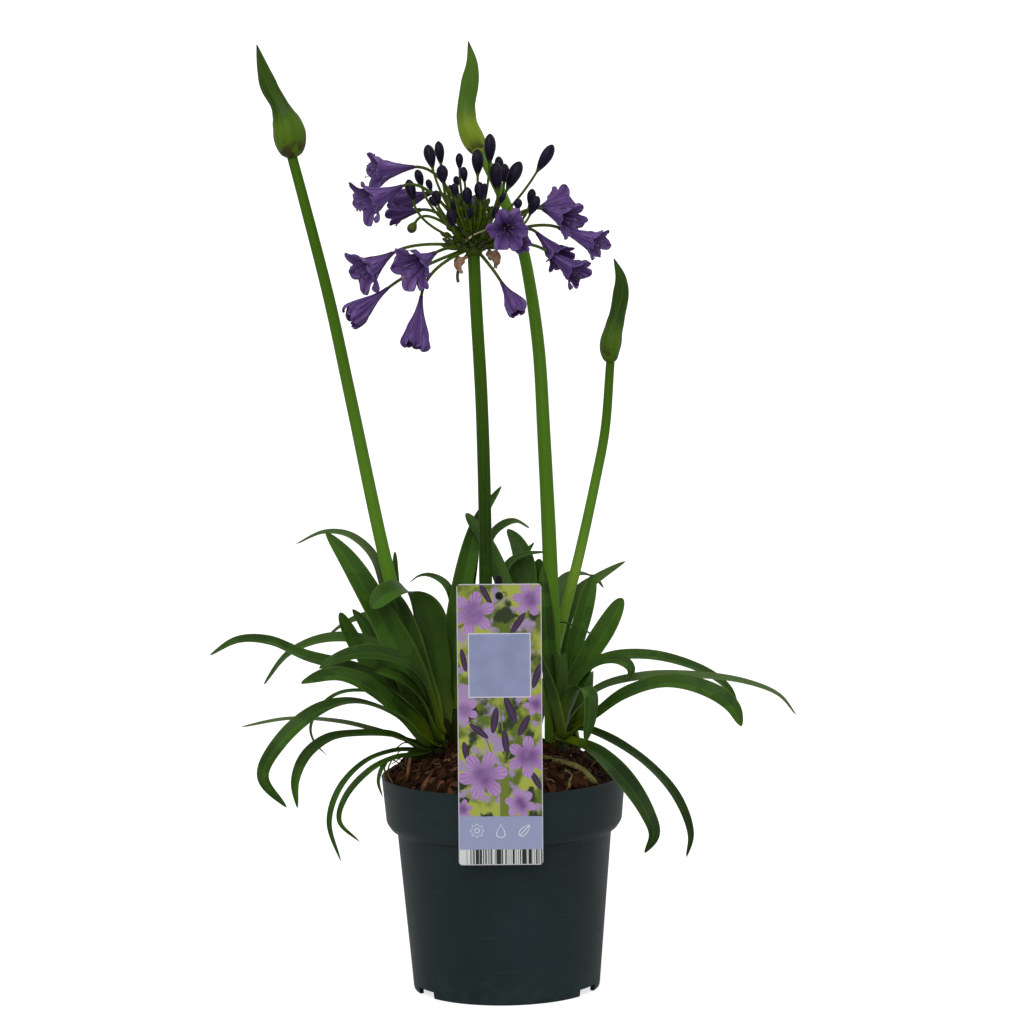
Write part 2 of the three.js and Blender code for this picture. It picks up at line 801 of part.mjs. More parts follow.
function innerBuds() {
  const draw = seeded(INNER_BUDS.seed);
  return Array.from({ length: INNER_BUDS.count }, (_, k) => {
    const tilt = rad(INNER_BUDS.cone) * Math.sqrt((k + 0.5) / INNER_BUDS.count);
    const turn = k * 2.39996;
    const reach = lerp(...INNER_BUDS.reach, draw());
    const heading = V(Math.sin(tilt) * Math.cos(turn), Math.sin(tilt) * Math.sin(turn), Math.cos(tilt));
    const end = HUB.clone().addScaledVector(heading, reach);
    const length = lerp(...INNER_BUDS.length, draw());
    const tip = end.clone().addScaledVector(heading.add(V(0, 0, 0.5)).normalize(), length);
    return [end.toArray(), tip.toArray(), lerp(...INNER_BUDS.width, draw())];
  });
}

const CAPSULE = { end: [-60, -2, 598], length: 10, width: 7.6 };
const STUB = { end: [-28, -17, 552], radius: 1.3 };
const PAPER_STRIP = { way: [[-22, -13, 581], [-21, -20, 585], [-14, -24, 589], [-7, -23, 592]], width: 4 };

function flowerHeadSolid() {
  const core = new THREE.IcosahedronGeometry(STALK.core, 1).scale(1, 1, 0.85);
  const parts = [solidOf(core.translate(HUB.x, HUB.y, HUB.z + 1))];
  const addBud = ([end, tip, width], sides) => {
    const heading = V(...tip).sub(V(...end));
    const swelling = budRings(heading.length(), width);
    parts.push(solidOf(stalkGeometry(end, STALK.radius, heading.normalize(), swelling, sides)));
  };
  BUDS.forEach((bud) => addBud(bud, 5));
  innerBuds().forEach((bud) => addBud(bud, 4));
  for (const flower of Object.values(FLOWERS)) {
    const heading = V(...flower.to).sub(V(...flower.from)).normalize();
    parts.push(solidOf(stalkGeometry(flower.from, STALK.radius + 0.2, heading)));
  }
  const seed = V(-0.5, -0.3, -0.8).normalize();
  const swelling = budRings(CAPSULE.length, CAPSULE.width);
  parts.push(solidOf(stalkGeometry(CAPSULE.end, STALK.radius, seed, swelling, 5)));
  parts.push(solidOf(stalkGeometry(STUB.end, STUB.radius, V(0.35, 0.1, -0.93))));
  const curl = curveOf(PAPER_STRIP.way);
  const strip = strapGeometry(curl, [0, 0.3, 0.6, 1], V(0, -0.6, 0.8), () => PAPER_STRIP.width / 2, () => 0);
  parts.push(solidOf(strip));
  return largestOf(join(parts).simplify(0.2));
}

// A funnel flower: a narrow tube that opens into six lobes, as one thin cup. Columns alternate between
// the middle of a lobe and the notch between two lobes.
const CUP = { columns: 12, rings: [0, 0.3, 0.66, 1], notch: 0.76, thick: 0.8, gap: 0.8 };

// Distance out from the flower's axis and along it, at share s of the way from the stalk to a lobe's tip.
function cupOutline(flower, s) {
  const out = lerp(1.6, flower.mouth, Math.pow(s, 1.25));
  const forward = flower.long * (s - 0.14 * Math.pow(s, 5) * (flower.mouth / 15));
  return [out, forward];
}

function flowerGeometry(flower) {
  const from = V(...flower.from);
  const axis = V(...flower.to).sub(from).normalize();
  const side = (Math.abs(axis.z) < 0.9 ? V(0, 0, 1) : V(1, 0, 0)).cross(axis).normalize();
  const other = axis.clone().cross(side);
  const notch = flower.notch ?? CUP.notch;
  const place = (out, forward, k) => {
    const a = (2 * Math.PI * k) / CUP.columns;
    return from
      .clone()
      .addScaledVector(axis, forward + CUP.gap)
      .addScaledVector(side, out * Math.cos(a))
      .addScaledVector(other, out * Math.sin(a));
  };
  const outside = [];
  const inside = [];
  CUP.rings.forEach((t, j) => {
    for (let k = 0; k < CUP.columns; k++) {
      const s = k % 2 ? t * notch : t;
      const [out, forward] = cupOutline(flower, s);
      const [out2, forward2] = cupOutline(flower, s + 0.01);
      const slope = V(forward2 - forward, out2 - out, 0).normalize();
      outside.push(place(out, forward, k));
      const within = Math.max(out - slope.x * CUP.thick, 0.4);
      if (j > 0) inside.push(place(within, forward + slope.y * CUP.thick, k));
    }
  });
  const n = CUP.columns;
  const rings = CUP.rings.length;
  const points = [...outside, ...inside, place(0, 0, 0), place(0, flower.long * 0.1, 0)];
  const inner = (j, k) => outside.length + (j - 1) * n + (k % n);
  const outer = (j, k) => j * n + (k % n);
  const triangles = [];
  for (let k = 0; k < n; k++) {
    for (let j = 0; j < rings - 1; j++) {
      triangles.push(outer(j, k), outer(j, k + 1), outer(j + 1, k + 1));
      triangles.push(outer(j, k), outer(j + 1, k + 1), outer(j + 1, k));
      if (j === 0) continue;
      triangles.push(inner(j, k), inner(j + 1, k + 1), inner(j, k + 1));
      triangles.push(inner(j, k), inner(j + 1, k), inner(j + 1, k + 1));
    }
    triangles.push(outer(rings - 1, k), outer(rings - 1, k + 1), inner(rings - 1, k + 1));
    triangles.push(outer(rings - 1, k), inner(rings - 1, k + 1), inner(rings - 1, k));
    triangles.push(points.length - 2, outer(0, k + 1), outer(0, k));
    triangles.push(points.length - 1, inner(1, k), inner(1, k + 1));
  }
  return indexed(points, triangles);
}

// ---- papery bracts, roots, label and stake ----
const BRACTS = {
  dry_bract_left: {
    way: [
      [-22, -20, 568.5], [-25, -22, 566], [-27, -23, 561], [-25, -22, 555],
    ],
    width: 11,
    roll: [20, -40],
  },
  dry_bract_right: {
    way: [
      [-6, -13, 573], [-2, -14, 571], [1, -14, 566], [0, -13, 560],
    ],
    width: 11,
    roll: [-20, 40],
  },
};
const ROOTS = {
  surface_root: {
    way: [
      [27, -34, 190], [37, -40, 188], [50, -48, 185], [61, -53, 179], [70, -57, 171],
    ],
    radius: 2.3,
    sides: 6,
    steps: 6,
  },
  surface_rootlet: {
    way: [
      [48, -57, 180], [52, -62, 177], [51, -67, 172], [50, -72, 168],
    ],
    radius: 1.2,
    sides: 5,
    steps: 5,
  },
};

function bractGeometry(bract) {
  const widthAt = (s) => (bract.width / 2) * lerp(0.35, 1, Math.sin(Math.PI * Math.min(s + 0.15, 1)));
  const rollAt = (s) => along(bract.roll, s);
  return strapGeometry(curveOf(bract.way), [0, 0.33, 0.67, 1], V(1, 0, 0), widthAt, rollAt);
}

const rootGeometry = (root, grow = 0) =>
  tube(root.way, (s) => root.radius * lerp(0.9, 1.1, s), root.sides, root.steps, grow);

function labelGeometry() {
  const { width: w, height: h, corner: c } = LABEL;
  const card = new THREE.Shape();
  card.moveTo(-w / 2 + c, -h);
  card.lineTo(w / 2 - c, -h);
  card.absarc(w / 2 - c, -h + c, c, -Math.PI / 2, 0);
  card.absarc(w / 2 - c, -c, c, 0, Math.PI / 2);
  card.absarc(-w / 2 + c, -c, c, Math.PI / 2, Math.PI);
  card.absarc(-w / 2 + c, -h + c, c, Math.PI, Math.PI * 1.5);
  const hole = new THREE.Path();
  hole.absarc(0, -HOLE.drop, HOLE.radius, 0, Math.PI * 2, true);
  card.holes.push(hole);
  const g = new THREE.ExtrudeGeometry(card, { depth: LABEL.thick, bevelEnabled: false, curveSegments: 4 });
  return g.translate(0, 0, -LABEL.thick / 2).rotateX(Math.PI / 2);
}

// A flat stake with a rounded top, and a pin through the label's hole with a button in front of the card.
function stakeGeometry() {
  const length = STAKE.top - STAKE.foot;
  const { width: w } = STAKE;
  const outline = new THREE.Shape();
  outline.moveTo(-w / 2, 0);
  outline.lineTo(w / 2, 0);
  outline.absarc(0, length - w / 2, w / 2, 0, Math.PI);
  const flat = { depth: STAKE.thick, bevelEnabled: false, curveSegments: 4 };
  const strip = new THREE.ExtrudeGeometry(outline, flat);
  strip.translate(0, 0, -STAKE.thick / 2).rotateX(Math.PI / 2);
  strip.rotateX(Math.atan2(STAKE.footY - STAKE.topY, length)).translate(LABEL.x, STAKE.footY, STAKE.foot);
  const holeZ = LABEL.top - HOLE.drop;
  const front = LABEL.y - LABEL.thick / 2 - 0.4;
  const pin = new THREE.CylinderGeometry(PIN.radius, PIN.radius, 6, 10);
  pin.translate(LABEL.x, front + 2.4, holeZ);
  const button = new THREE.CylinderGeometry(PIN.head, PIN.head * 0.8, PIN.headThick, 10);
  button.translate(LABEL.x, front - PIN.headThick / 2, holeZ);
  return geometryOf(join([strip, pin, button].map(solidOf)));
}

// ---- assembly ----
const finish = (hex, roughness) => new THREE.MeshStandardMaterial({ color: hex, roughness, metalness: 0 });
const LOOKS = {
  pot: finish(0x2d3639, 0.5),
  compost: finish(0x3a2218, 0.95),
  leaf: finish(0x2a4a1c, 0.45),
  stem: finish(0x4a7726, 0.45),
  petal: finish(0x5a3f86, 0.6),
  head: finish(0x3c4a1e, 0.6),
  bract: finish(0xb08a68, 0.8),
  root: finish(0xa39a5c, 0.7),
  card: finish(0x9a9cc8, 0.4),
  stake: finish(0x17191a, 0.5),
};

const plant = new THREE.Group();
function addPart(name, geometry, look) {
  const mesh = new THREE.Mesh(geometry, LOOKS[look]);
  mesh.name = name;
  plant.add(mesh);
  return mesh;
}

addPart("nursery_pot", potGeometry(), "pot");

let soil = soilSolid();
for (const shoot of Object.values(SHOOTS)) soil = soil.subtract(solidOf(sheathGeometry(shoot, GAP)));
for (const stem of Object.values(STEMS)) soil = soil.subtract(solidOf(stemGeometry(stem, GAP)));
for (const root of Object.values(ROOTS)) soil = soil.subtract(solidOf(rootGeometry(root, GAP)));
const slot = new THREE.BoxGeometry(STAKE.width + 2 * GAP, STAKE.thick + 4, 60);
soil = soil.subtract(solidOf(slot.translate(LABEL.x, STAKE.footY - 0.8, STAKE.foot + 28)));
addPart("bark_compost", geometryOf(largestOf(soil).simplify(0.15)), "compost");

for (const [name, shoot] of Object.entries(SHOOTS)) addPart(name, geometryOf(shootSolid(shoot)), "leaf");
for (const [name, stem] of Object.entries(STEMS)) addPart(name, stemGeometry(stem), "stem");
for (const [name, sheath] of Object.entries(SHEATHS)) addPart(name, sheathBudGeometry(sheath), "stem");
addPart("flower_head", geometryOf(flowerHeadSolid()), "head");
for (const [name, flower] of Object.entries(FLOWERS)) addPart(name, flowerGeometry(flower), "petal");
for (const [name, bract] of Object.entries(BRACTS)) addPart(name, bractGeometry(bract), "bract");
for (const [name, root] of Object.entries(ROOTS)) addPart(name, rootGeometry(root), "root");

const card = addPart("care_label", labelGeometry(), "card");
card.position.set(LABEL.x, LABEL.y, LABEL.top);
card.rotation.y = rad(LABEL.lean);
addPart("label_stake", stakeGeometry(), "stake");

export default plant;
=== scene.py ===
# %% [markdown]
# # An agapanthus in its nursery pot
# The plant is already there as plain solids with the right sizes and places. This lesson gives each of
# them its living surface: strap leaves with veins, thin petals, fleshy stems, loose bark and moulded
# plastic. Shapes are worked out with numpy as whole arrays, in millimetres, and turned into metres when
# they become a mesh. The first cell loads the solids as a fixed frame.

# %% Load the frame
import bpy
import numpy as np
from mathutils import Matrix, Vector


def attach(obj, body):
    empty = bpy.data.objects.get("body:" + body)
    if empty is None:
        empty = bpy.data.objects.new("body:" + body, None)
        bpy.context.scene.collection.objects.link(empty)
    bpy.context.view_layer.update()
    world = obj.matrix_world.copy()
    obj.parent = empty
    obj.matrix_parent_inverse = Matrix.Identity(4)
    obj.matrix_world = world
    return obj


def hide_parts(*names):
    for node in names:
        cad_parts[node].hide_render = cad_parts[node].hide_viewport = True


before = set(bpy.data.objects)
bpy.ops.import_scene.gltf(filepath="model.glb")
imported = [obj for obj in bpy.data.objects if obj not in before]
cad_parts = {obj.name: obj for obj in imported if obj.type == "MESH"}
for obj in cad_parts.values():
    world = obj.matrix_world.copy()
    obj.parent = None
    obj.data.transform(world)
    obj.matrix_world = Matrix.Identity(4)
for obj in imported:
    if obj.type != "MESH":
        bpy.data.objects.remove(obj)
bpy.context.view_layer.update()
MM = 0.001

# %% [markdown]
# ## Camera
# A long lens from far away keeps the stems nearly parallel. The camera looks slightly down, so that the
# bark shows inside the rim, and leans by one degree. Its three directions are worked out from those
# angles and become the columns of its matrix.

# %% Camera
def add_object(name, data):
    """A new object in the scene."""
    made = bpy.data.objects.new(name, data)
    bpy.context.scene.collection.objects.link(made)
    return made


LOOK_DOWN, LEAN = np.radians(6.8), np.radians(-0.95)
AIM, DISTANCE = np.array([0.010, 0.0, 0.3725]), 3.5
LENS_MM, SENSOR_MM, SIGHT_M = 159.26, 36.0, 2000.0

level, raised = np.array([1.0, 0.0, 0.0]), np.array([0.0, np.sin(LOOK_DOWN), np.cos(LOOK_DOWN)])
ahead = np.array([0.0, np.cos(LOOK_DOWN), -np.sin(LOOK_DOWN)])
right = level * np.cos(LEAN) + raised * np.sin(LEAN)
upward = raised * np.cos(LEAN) - level * np.sin(LEAN)

camera = add_object("camera", bpy.data.cameras.new("camera"))
placing = np.eye(4)
placing[:3] = np.stack([right, upward, -ahead, AIM - DISTANCE * ahead], axis=1)
camera.matrix_world = Matrix(placing.tolist())
camera.data.lens, camera.data.sensor_width, camera.data.clip_end = LENS_MM, SENSOR_MM, SIGHT_M
bpy.context.scene.camera = camera
print("camera at", np.round(AIM - DISTANCE * ahead, 3))

# %% [markdown]
# ## Node trees in a few words
# A finish is a tree of shader nodes, joined by wires. Short helpers keep the trees readable: one adds a
# node and fills its sockets, others mix two colours, lay coats of colour or make a soft step. A wire takes
# part in sums as a number would, and each sum adds a node. Colours are written as six hex digits, the way
# paint charts give them, and are turned into the linear values that shaders work with.

# %% Node helpers
def paint(digits):
    """Six hex digits as linear red, green, blue and full alpha: a channel c up to 0.04045 becomes
    c / 12.92, and above that ((c + 0.055) / 1.055) to the power 2.4."""
    c = np.array([int(digits[i:i + 2], 16) for i in (0, 2, 4)]) / 255.0
    return (*np.where(c <= 0.04045, c / 12.92, ((c + 0.055) / 1.055) ** 2.4).tolist(), 1.0)


def node(tree, kind, inputs=None, **settings):
    """Adds a shader node. Settings are its own properties, and inputs maps the name or number of a socket
    to a value or to a wire from another node."""
    made = tree.nodes.new("ShaderNode" + kind)
    for key, value in settings.items():
        setattr(made, key, value)
    for key, value in (inputs or {}).items():
        if isinstance(value, Wire):
            tree.links.new(value.socket, made.inputs[key])
        else:
            made.inputs[key].default_value = value
    return made


def wire(tree, kind, inputs=None, output=0, **settings):
    """Adds a shader node, and gives the wire from one of its outputs."""
    return Wire(node(tree, kind, inputs, **settings).outputs[output])


def reckon(operation, *values, clamp=False):
    """One sum with up to three numbers, in the tree of the first wire among them."""
    tree = next(value.tree for value in values if isinstance(value, Wire))
    return wire(tree, "Math", dict(enumerate(values)), operation=operation, use_clamp=clamp)


def sign(operation, swapped=False):
    """The method behind an arithmetic sign. Swapped is for a plain number on the sign's left."""
    return lambda self, other: reckon(operation, *((other, self) if swapped else (self, other)))


class Wire:
    """What comes out of a node: a number, a colour or a place."""

    def __init__(self, socket):
        self.socket, self.tree = socket, socket.id_data

    __add__, __radd__ = sign("ADD"), sign("ADD")
    __mul__, __rmul__ = sign("MULTIPLY"), sign("MULTIPLY")
    __sub__, __rsub__ = sign("SUBTRACT"), sign("SUBTRACT", swapped=True)
    __truediv__ = sign("DIVIDE")

    def __abs__(self):
        return reckon("ABSOLUTE", self)

    def parts(self):
        """The three numbers of a place."""
        return [Wire(socket) for socket in node(self.tree, "SeparateXYZ", {0: self}).outputs]


def tint(share, a, b):
    """Colour a turned into colour b by share. A colour is hex digits or a wire."""
    a, b = (paint(c) if isinstance(c, str) else c for c in (a, b))
    return wire(share.tree, "Mix", {0: share, 6: a, 7: b}, 2, data_type="RGBA")


def coated(colour, *coats):
    """The colour under coats, each with its share and its own colour, the last one on top."""
    for share, coat in coats:
        colour = tint(share, colour, coat)
    return colour


def rise(value, low, high):
    """0 below low, 1 above high, and a soft S between them. With low above high it falls instead."""
    if low > high:
        return 1.0 - rise(value, high, low)
    ranged = {"Value": value, "From Min": low, "From Max": high}
    return wire(value.tree, "MapRange", ranged, "Result", interpolation_type="SMOOTHSTEP")


def here(tree):
    """The place of a point in its object, in metres."""
    return wire(tree, "TexCoord", None, "Object")


KEPT = ("place", "measure", "kind")


def kept(tree):
    """The three numbers that a mesh keeps at each point under each of those names."""
    reading = {"attribute_type": "GEOMETRY"}
    return [wire(tree, "Attribute", None, "Vector", attribute_name=name, **reading).parts() for name in KEPT]


def new_material(name, **constants):
    """A material and its tree. Constants fill the shader's sockets that are the same all over."""
    made = bpy.data.materials.new(name)
    made.use_nodes = True
    for key, value in constants.items():
        made.node_tree.nodes["Principled BSDF"].inputs[key.replace("_", " ")].default_value = value
    return made, made.node_tree


def feed(made, colour, roughness=None, height=None, bump=0.3, depth=0.0005):
    """The material with the colour and the roughness joined to its shader, and the height through a Bump
    node. Depth is the height of a full step, in metres."""
    tree, wires = made.node_tree, {"Base Color": colour}
    if roughness is not None:
        wires["Roughness"] = roughness
    if height is not None:
        wires["Normal"] = wire(tree, "Bump", {"Strength": bump, "Distance": depth, "Height": height})
    for name, value in wires.items():
        tree.links.new(value.socket, tree.nodes["Principled BSDF"].inputs[name])
    return made


print("a mid green is", np.round(paint("365416"), 3))

# %% [markdown]
# ## Effects that many finishes share
# No part of a plant has one even colour. Two effects come back in nearly every finish, so each is built
# once as a node group with named sockets. Mottle is cloudy change, read from the place in space. Fibres
# are fine lines that follow a piece, read from numbers that its mesh keeps.

# %% Shared node groups
def new_group(name, inputs, outputs):
    """An empty node group, a wire from each of its inputs, and a function that joins wires to its outputs
    and gives the group back. All its sockets are numbers."""
    group = bpy.data.node_groups.new(name, "ShaderNodeTree")
    for direction, sockets in (("INPUT", inputs), ("OUTPUT", outputs)):
        for socket in sockets:
            group.interface.new_socket(socket, in_out=direction, socket_type="NodeSocketFloat")
    given = {socket.name: Wire(socket) for socket in group.nodes.new("NodeGroupInput").outputs if socket.name}
    ends = group.nodes.new("NodeGroupOutput").inputs

    def give(**results):
        for socket, value in results.items():
            group.links.new(value.socket, ends[socket])
        return group

    return group, given, give


def mottle_group():
    """Cloudy change from 0 to 1: layered noise, Scale clouds to the metre, spread to fill the range."""
    group, given, give = new_group("Mottle", ["Scale"], ["Value"])
    noise = wire(group, "TexNoise", {"Vector": here(group), "Scale": given["Scale"], "Detail": 4.0})
    return give(Value=rise(noise, 0.3, 0.7))


def fibre_group():
    """Fine lines along a piece: noise at (Across, Along, 37 Seed), where the first two come already
    counted in lines, so that it changes fast across the piece and slowly along it."""
    group, given, give = new_group("Fibres", ["Across", "Along", "Seed"], ["Value"])
    spot = wire(group, "CombineXYZ", {0: given["Across"], 1: given["Along"], 2: given["Seed"] * 37.0})
    noise = wire(group, "TexNoise", {"Vector": spot, "Scale": 1.0, "Detail": 3.0})
    return give(Value=rise(noise, 0.3, 0.7))


MOTTLE, FIBRES = mottle_group(), fibre_group()


def mottle(tree, scale):
    """Mottle with this many clouds to the metre."""
    return wire(tree, "Group", {"Scale": scale}, node_tree=MOTTLE)


def fibres(across, lines, along, runs, seed=0.0):
    """Fibres with this many lines to a unit across and runs to a unit along."""
    inputs = {"Across": across * lines, "Along": along * runs, "Seed": seed}
    return wire(across.tree, "Group", inputs, node_tree=FIBRES)


print("groups", [g.name for g in bpy.data.node_groups])

# %% [markdown]
# ## Light and floor
# Plants for sale are shown in a bright white room. The floor is one very large pale sheet that fills the
# view from any side, so no backdrop is needed. The sky is an even soft white, and a broad sun high on the
# left adds gentle shadows. A blown-out white floor would throw so much light up that the leaves lose
# their depth, so the floor itself is a quiet grey, and a glow that only the view sees lifts it to white.

# %% Floor and lights
FLOOR_REACH, FLOOR_GLOW, SKY, SUN, SUN_SPREAD = 600.0, 0.72, 0.52, 1.2, np.radians(45)
SUN_FROM, FILL, FILL_FROM = Vector((-0.12, -0.9, 0.72)), 0.4, Vector((0.75, 0.65, 0.7))


def sun_light(name, strength, from_where, spread):
    """A far light from one direction, with shadows as soft as the spread is wide."""
    light = bpy.data.lights.new(name, "SUN")
    light.energy, light.angle = strength, spread
    add_object(name, light).matrix_world = from_where.to_track_quat("Z", "Y").to_matrix().to_4x4()


def make_floor():
    """A level sheet with faintly uneven paint, and the glow for direct sight."""
    mesh = bpy.data.meshes.new("floor")
    r = FLOOR_REACH
    mesh.from_pydata([(-r, -r, 0), (r, -r, 0), (r, r, 0), (-r, r, 0)], [], [(0, 1, 2, 3)])
    made, tree = new_material("White floor", Roughness=0.9, Specular_IOR_Level=0.1,
                              Emission_Strength=FLOOR_GLOW)
    seen = wire(tree, "LightPath", None, "Is Camera Ray")
    glow = tint(seen, "000000", "ffffff").socket
    tree.links.new(glow, tree.nodes["Principled BSDF"].inputs["Emission Color"])
    mesh.materials.append(feed(made, tint(mottle(tree, 3.0), "cccccc", "d0d0d0")))
    sheet = add_object("floor", mesh)


make_floor()
sun_light("key", SUN, SUN_FROM, SUN_SPREAD)
sun_light("fill", FILL, FILL_FROM, SUN_SPREAD)
world = bpy.data.worlds.new("white room")
world.use_nodes = True
sky = world.node_tree.nodes["Background"].inputs
sky["Color"].default_value, sky["Strength"].default_value = paint("ffffff"), SKY
bpy.context.scene.world = world
bpy.context.scene.view_settings.view_transform = "Standard"
print("sky", SKY, "sun", SUN, "fill", FILL)

# %% [markdown]
# ## From arrays to a mesh
# Nearly every part of a plant is a stack of rings along a path: a leaf is a flat ring, a stem a round
# one. So a few functions do all the work. One draws a smooth path through given points, one finds the
# directions along it, one joins rings into a closed skin, and a small collector turns many skins into one
# mesh. It also keeps three sets of numbers at each point, which the finishes read: where the point is on
# its part, how far that is in millimetres, and what kind of surface it is.

# %% Paths, rings and skins
def unit(v):
    """Vectors divided by their lengths."""
    return v / np.linalg.norm(v, axis=-1, keepdims=True)


def ease(x, low, high):
    """0 below low, 1 above high, 3t^2 - 2t^3 between them."""
    t = np.clip((x - low) / (high - low), 0, 1)
    return t * t * (3 - 2 * t)


def mixed(a, b, share):
    """a where share is 0, b where it is 1."""
    return a + (b - a) * share


def smooth_path(points, shares):
    """Places at the given shares of the length of a smooth curve through the points. Between two of them
    it is the cubic whose slopes come from the neighbours, weighed by the square roots of the distances."""
    p = np.asarray(points, float)
    p = np.vstack([2 * p[0] - p[1], p, 2 * p[-1] - p[-2]])
    gap = np.sqrt(np.linalg.norm(np.diff(p, axis=0), axis=1))[:, None]
    g0, g1, g2 = gap[:-2], gap[1:-1], gap[2:]
    before, a, b, after = p[:-3], p[1:-2], p[2:-1], p[3:]
    leave = ((a - before) / g0 - (b - before) / (g0 + g1) + (b - a) / g1) * g1
    arrive = ((b - a) / g1 - (after - a) / (g1 + g2) + (after - b) / g2) * g1
    t = np.linspace(0, 1, 40)[:, None, None]
    fine = (2 * t**3 - 3 * t**2 + 1) * a + (3 * t**2 - 2 * t**3) * b
    fine = fine + (t**3 - 2 * t**2 + t) * leave + (t**3 - t**2) * arrive
    fine = fine.swapaxes(0, 1).reshape(-1, p.shape[1])
    far = distances(fine)
    return np.stack([np.interp(shares * far[-1], far, column) for column in fine.T], axis=1)


def distances(path):
    """How far along the path each of its points lies."""
    return np.concatenate([[0.0], np.cumsum(np.linalg.norm(np.diff(path, axis=0), axis=1))])


def directions(path, reference):
    """Along the path, sideways (the reference less its share along the path), and at right angles to both."""
    along = unit(np.gradient(path, axis=0))
    side = unit(reference - (along @ np.asarray(reference, float))[:, None] * along)
    return along, side, np.cross(along, side)


def bumps(points, size, seed):
    """Smooth random bumps from -1 to 1: each corner of a lattice of this spacing has a height from the
    broken part of a large sine, and 3t^2 - 2t^3 mixes the eight corners round a point."""
    p = np.asarray(points, float) / size
    cell = np.floor(p)
    t = ease(p - cell, 0, 1)
    total = 0.0
    for corner in np.ndindex(2, 2, 2):
        height = np.sin((cell + corner) @ np.array([12.9898, 78.233, 37.719]) + seed) * 43758.5453
        total = total + np.prod(np.where(corner, t, 1 - t), axis=-1) * (2 * (height % 1.0) - 1)
    return total


class Skin:
    """Gathers points in millimetres, faces and the numbers kept at the points, and makes one mesh."""

    def __init__(self):
        self.points, self.corners, self.sizes, self.slots, self.soft = [], [], [], [], []
        self.values, self.count = {name: [] for name in KEPT}, 0

    def add(self, points, faces, slot=0, soft=True, **values):
        """Faces is a list of arrays, each with the point numbers of faces with equally many corners."""
        points = np.reshape(points, (-1, 3))
        for group in faces:
            self.corners.append((group + self.count).ravel())
            self.sizes.append(np.full(len(group), group.shape[1]))
            self.slots.append(np.full(len(group), slot))
            self.soft.append(np.full(len(group), soft))
        for name in KEPT:
            value = np.reshape(values.get(name, (0.0, 0.0, 0.0)), (-1, 3))
            self.values[name].append(np.broadcast_to(value, points.shape))
        self.points.append(points)
        self.count += len(points)

    def mesh(self, name):
        """The mesh, in metres."""
        made, sizes = bpy.data.meshes.new(name), np.concatenate(self.sizes)
        made.vertices.add(self.count)
        made.vertices.foreach_set("co", (np.concatenate(self.points) * MM).ravel())
        made.loops.add(int(sizes.sum()))
        made.loops.foreach_set("vertex_index", np.concatenate(self.corners))
        made.polygons.add(len(sizes))
        made.polygons.foreach_set("loop_start", np.cumsum(sizes) - sizes)
        made.polygons.foreach_set("material_index", np.concatenate(self.slots))
        made.polygons.foreach_set("use_smooth", np.concatenate(self.soft))
        for key, value in self.values.items():
            layer = made.attributes.new(key, "FLOAT_VECTOR", "POINT")
            layer.data.foreach_set("vector", np.concatenate(value).ravel())
        made.update(calc_edges=True)
        return made

    def piece(self, name, materials, nodes):
        """The finished piece: it rides on the body, stands for the nodes and has these materials."""
        thing = add_object(name, self.mesh(name))
        for material in materials:
            thing.data.materials.append(material)
        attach(thing, "root")
        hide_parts(*nodes)
        return thing


def loft(skin, rings, slot=0, soft=True, **values):
    """A closed body through a stack of rings (rows, points round, xyz), each anticlockwise as seen from
    the far end. Four-sided faces join the rings, and one face closes each end. What the points keep is
    given as arrays, or as tuples of three numbers or arrays that are spread over the rings."""
    rows, around, _ = rings.shape
    a = np.arange(rows * around).reshape(rows, around)
    b = np.roll(a, -1, axis=1)
    sides = np.stack([a[:-1], b[:-1], b[1:], a[1:]], axis=-1).reshape(-1, 4)
    for name, value in values.items():
        if isinstance(value, tuple):
            values[name] = np.stack([np.broadcast_to(v, a.shape) for v in value], axis=-1)
    skin.add(rings, [sides, a[:1, ::-1], a[-1:]], slot, soft, **values)


def circle(count):
    """Angles that divide a full turn into this many equal steps."""
    return np.arange(count) * 2 * np.pi / count


def round_rings(path, radius, sides, reference=(0, 1, 0), flat=1.0):
    """Rings path + radius (flat cos a * side + sin a * other), and the values cos a, sin a and share. The
    radius is one number, one for each ring, or one for each point."""
    _, side, other = directions(path, reference)
    c, s = np.cos(circle(sides)), np.sin(circle(sides))
    radius = np.atleast_2d(np.transpose(radius)).T[..., None]
    rings = path[:, None] + radius * (flat * c[:, None] * side[:, None] + s[:, None] * other[:, None])
    return rings, (c, s, np.linspace(0, 1, len(path))[:, None])


print("a smooth path between two points:", smooth_path([(0, 0, 0), (0, 0, 8)], np.array([0, 0.5, 1]))[:, 2])

# %% [markdown]
# ## Pot
# The pot is moulded in one go from dark grey-blue plastic: a tapered wall, a deep band under the rim, a
# raised floor with drain holes, and a foot with three notches that let water out. Such a shape is turned,
# so it is a profile carried round an axis. Its corners are first rounded with small curves, because a
# moulded edge is never sharp. The notches and holes are cut afterwards with a Boolean.

# %% Turned shapes
UNDER, FLOOR, FOOT, BAND, SHOULDER, RIM = 6.0, 8.5, 72.2, 126.0, 132.0, 168.0
POT_PROFILE = [
    (0.01, UNDER), (30, UNDER), (69.0, UNDER), (69.0, 0.0), (FOOT, 0.0), (72.7, 2.0), (83.4, 125.0),
    (87.6, BAND), (91.6, SHOULDER), (94.6, 165.5), (95.0, RIM), (92.8, RIM), (89.7, SHOULDER),
    (81.6, 127.0), (70.7, FLOOR), (30, FLOOR), (0.01, FLOOR),
]
ROUND = [0, 0, 0.8, 0.8, 0.9, 0.9, 2.6, 2.0, 2.0, 2.0, 0.9, 0.9, 3.0, 3.0, 3.0, 0, 0]


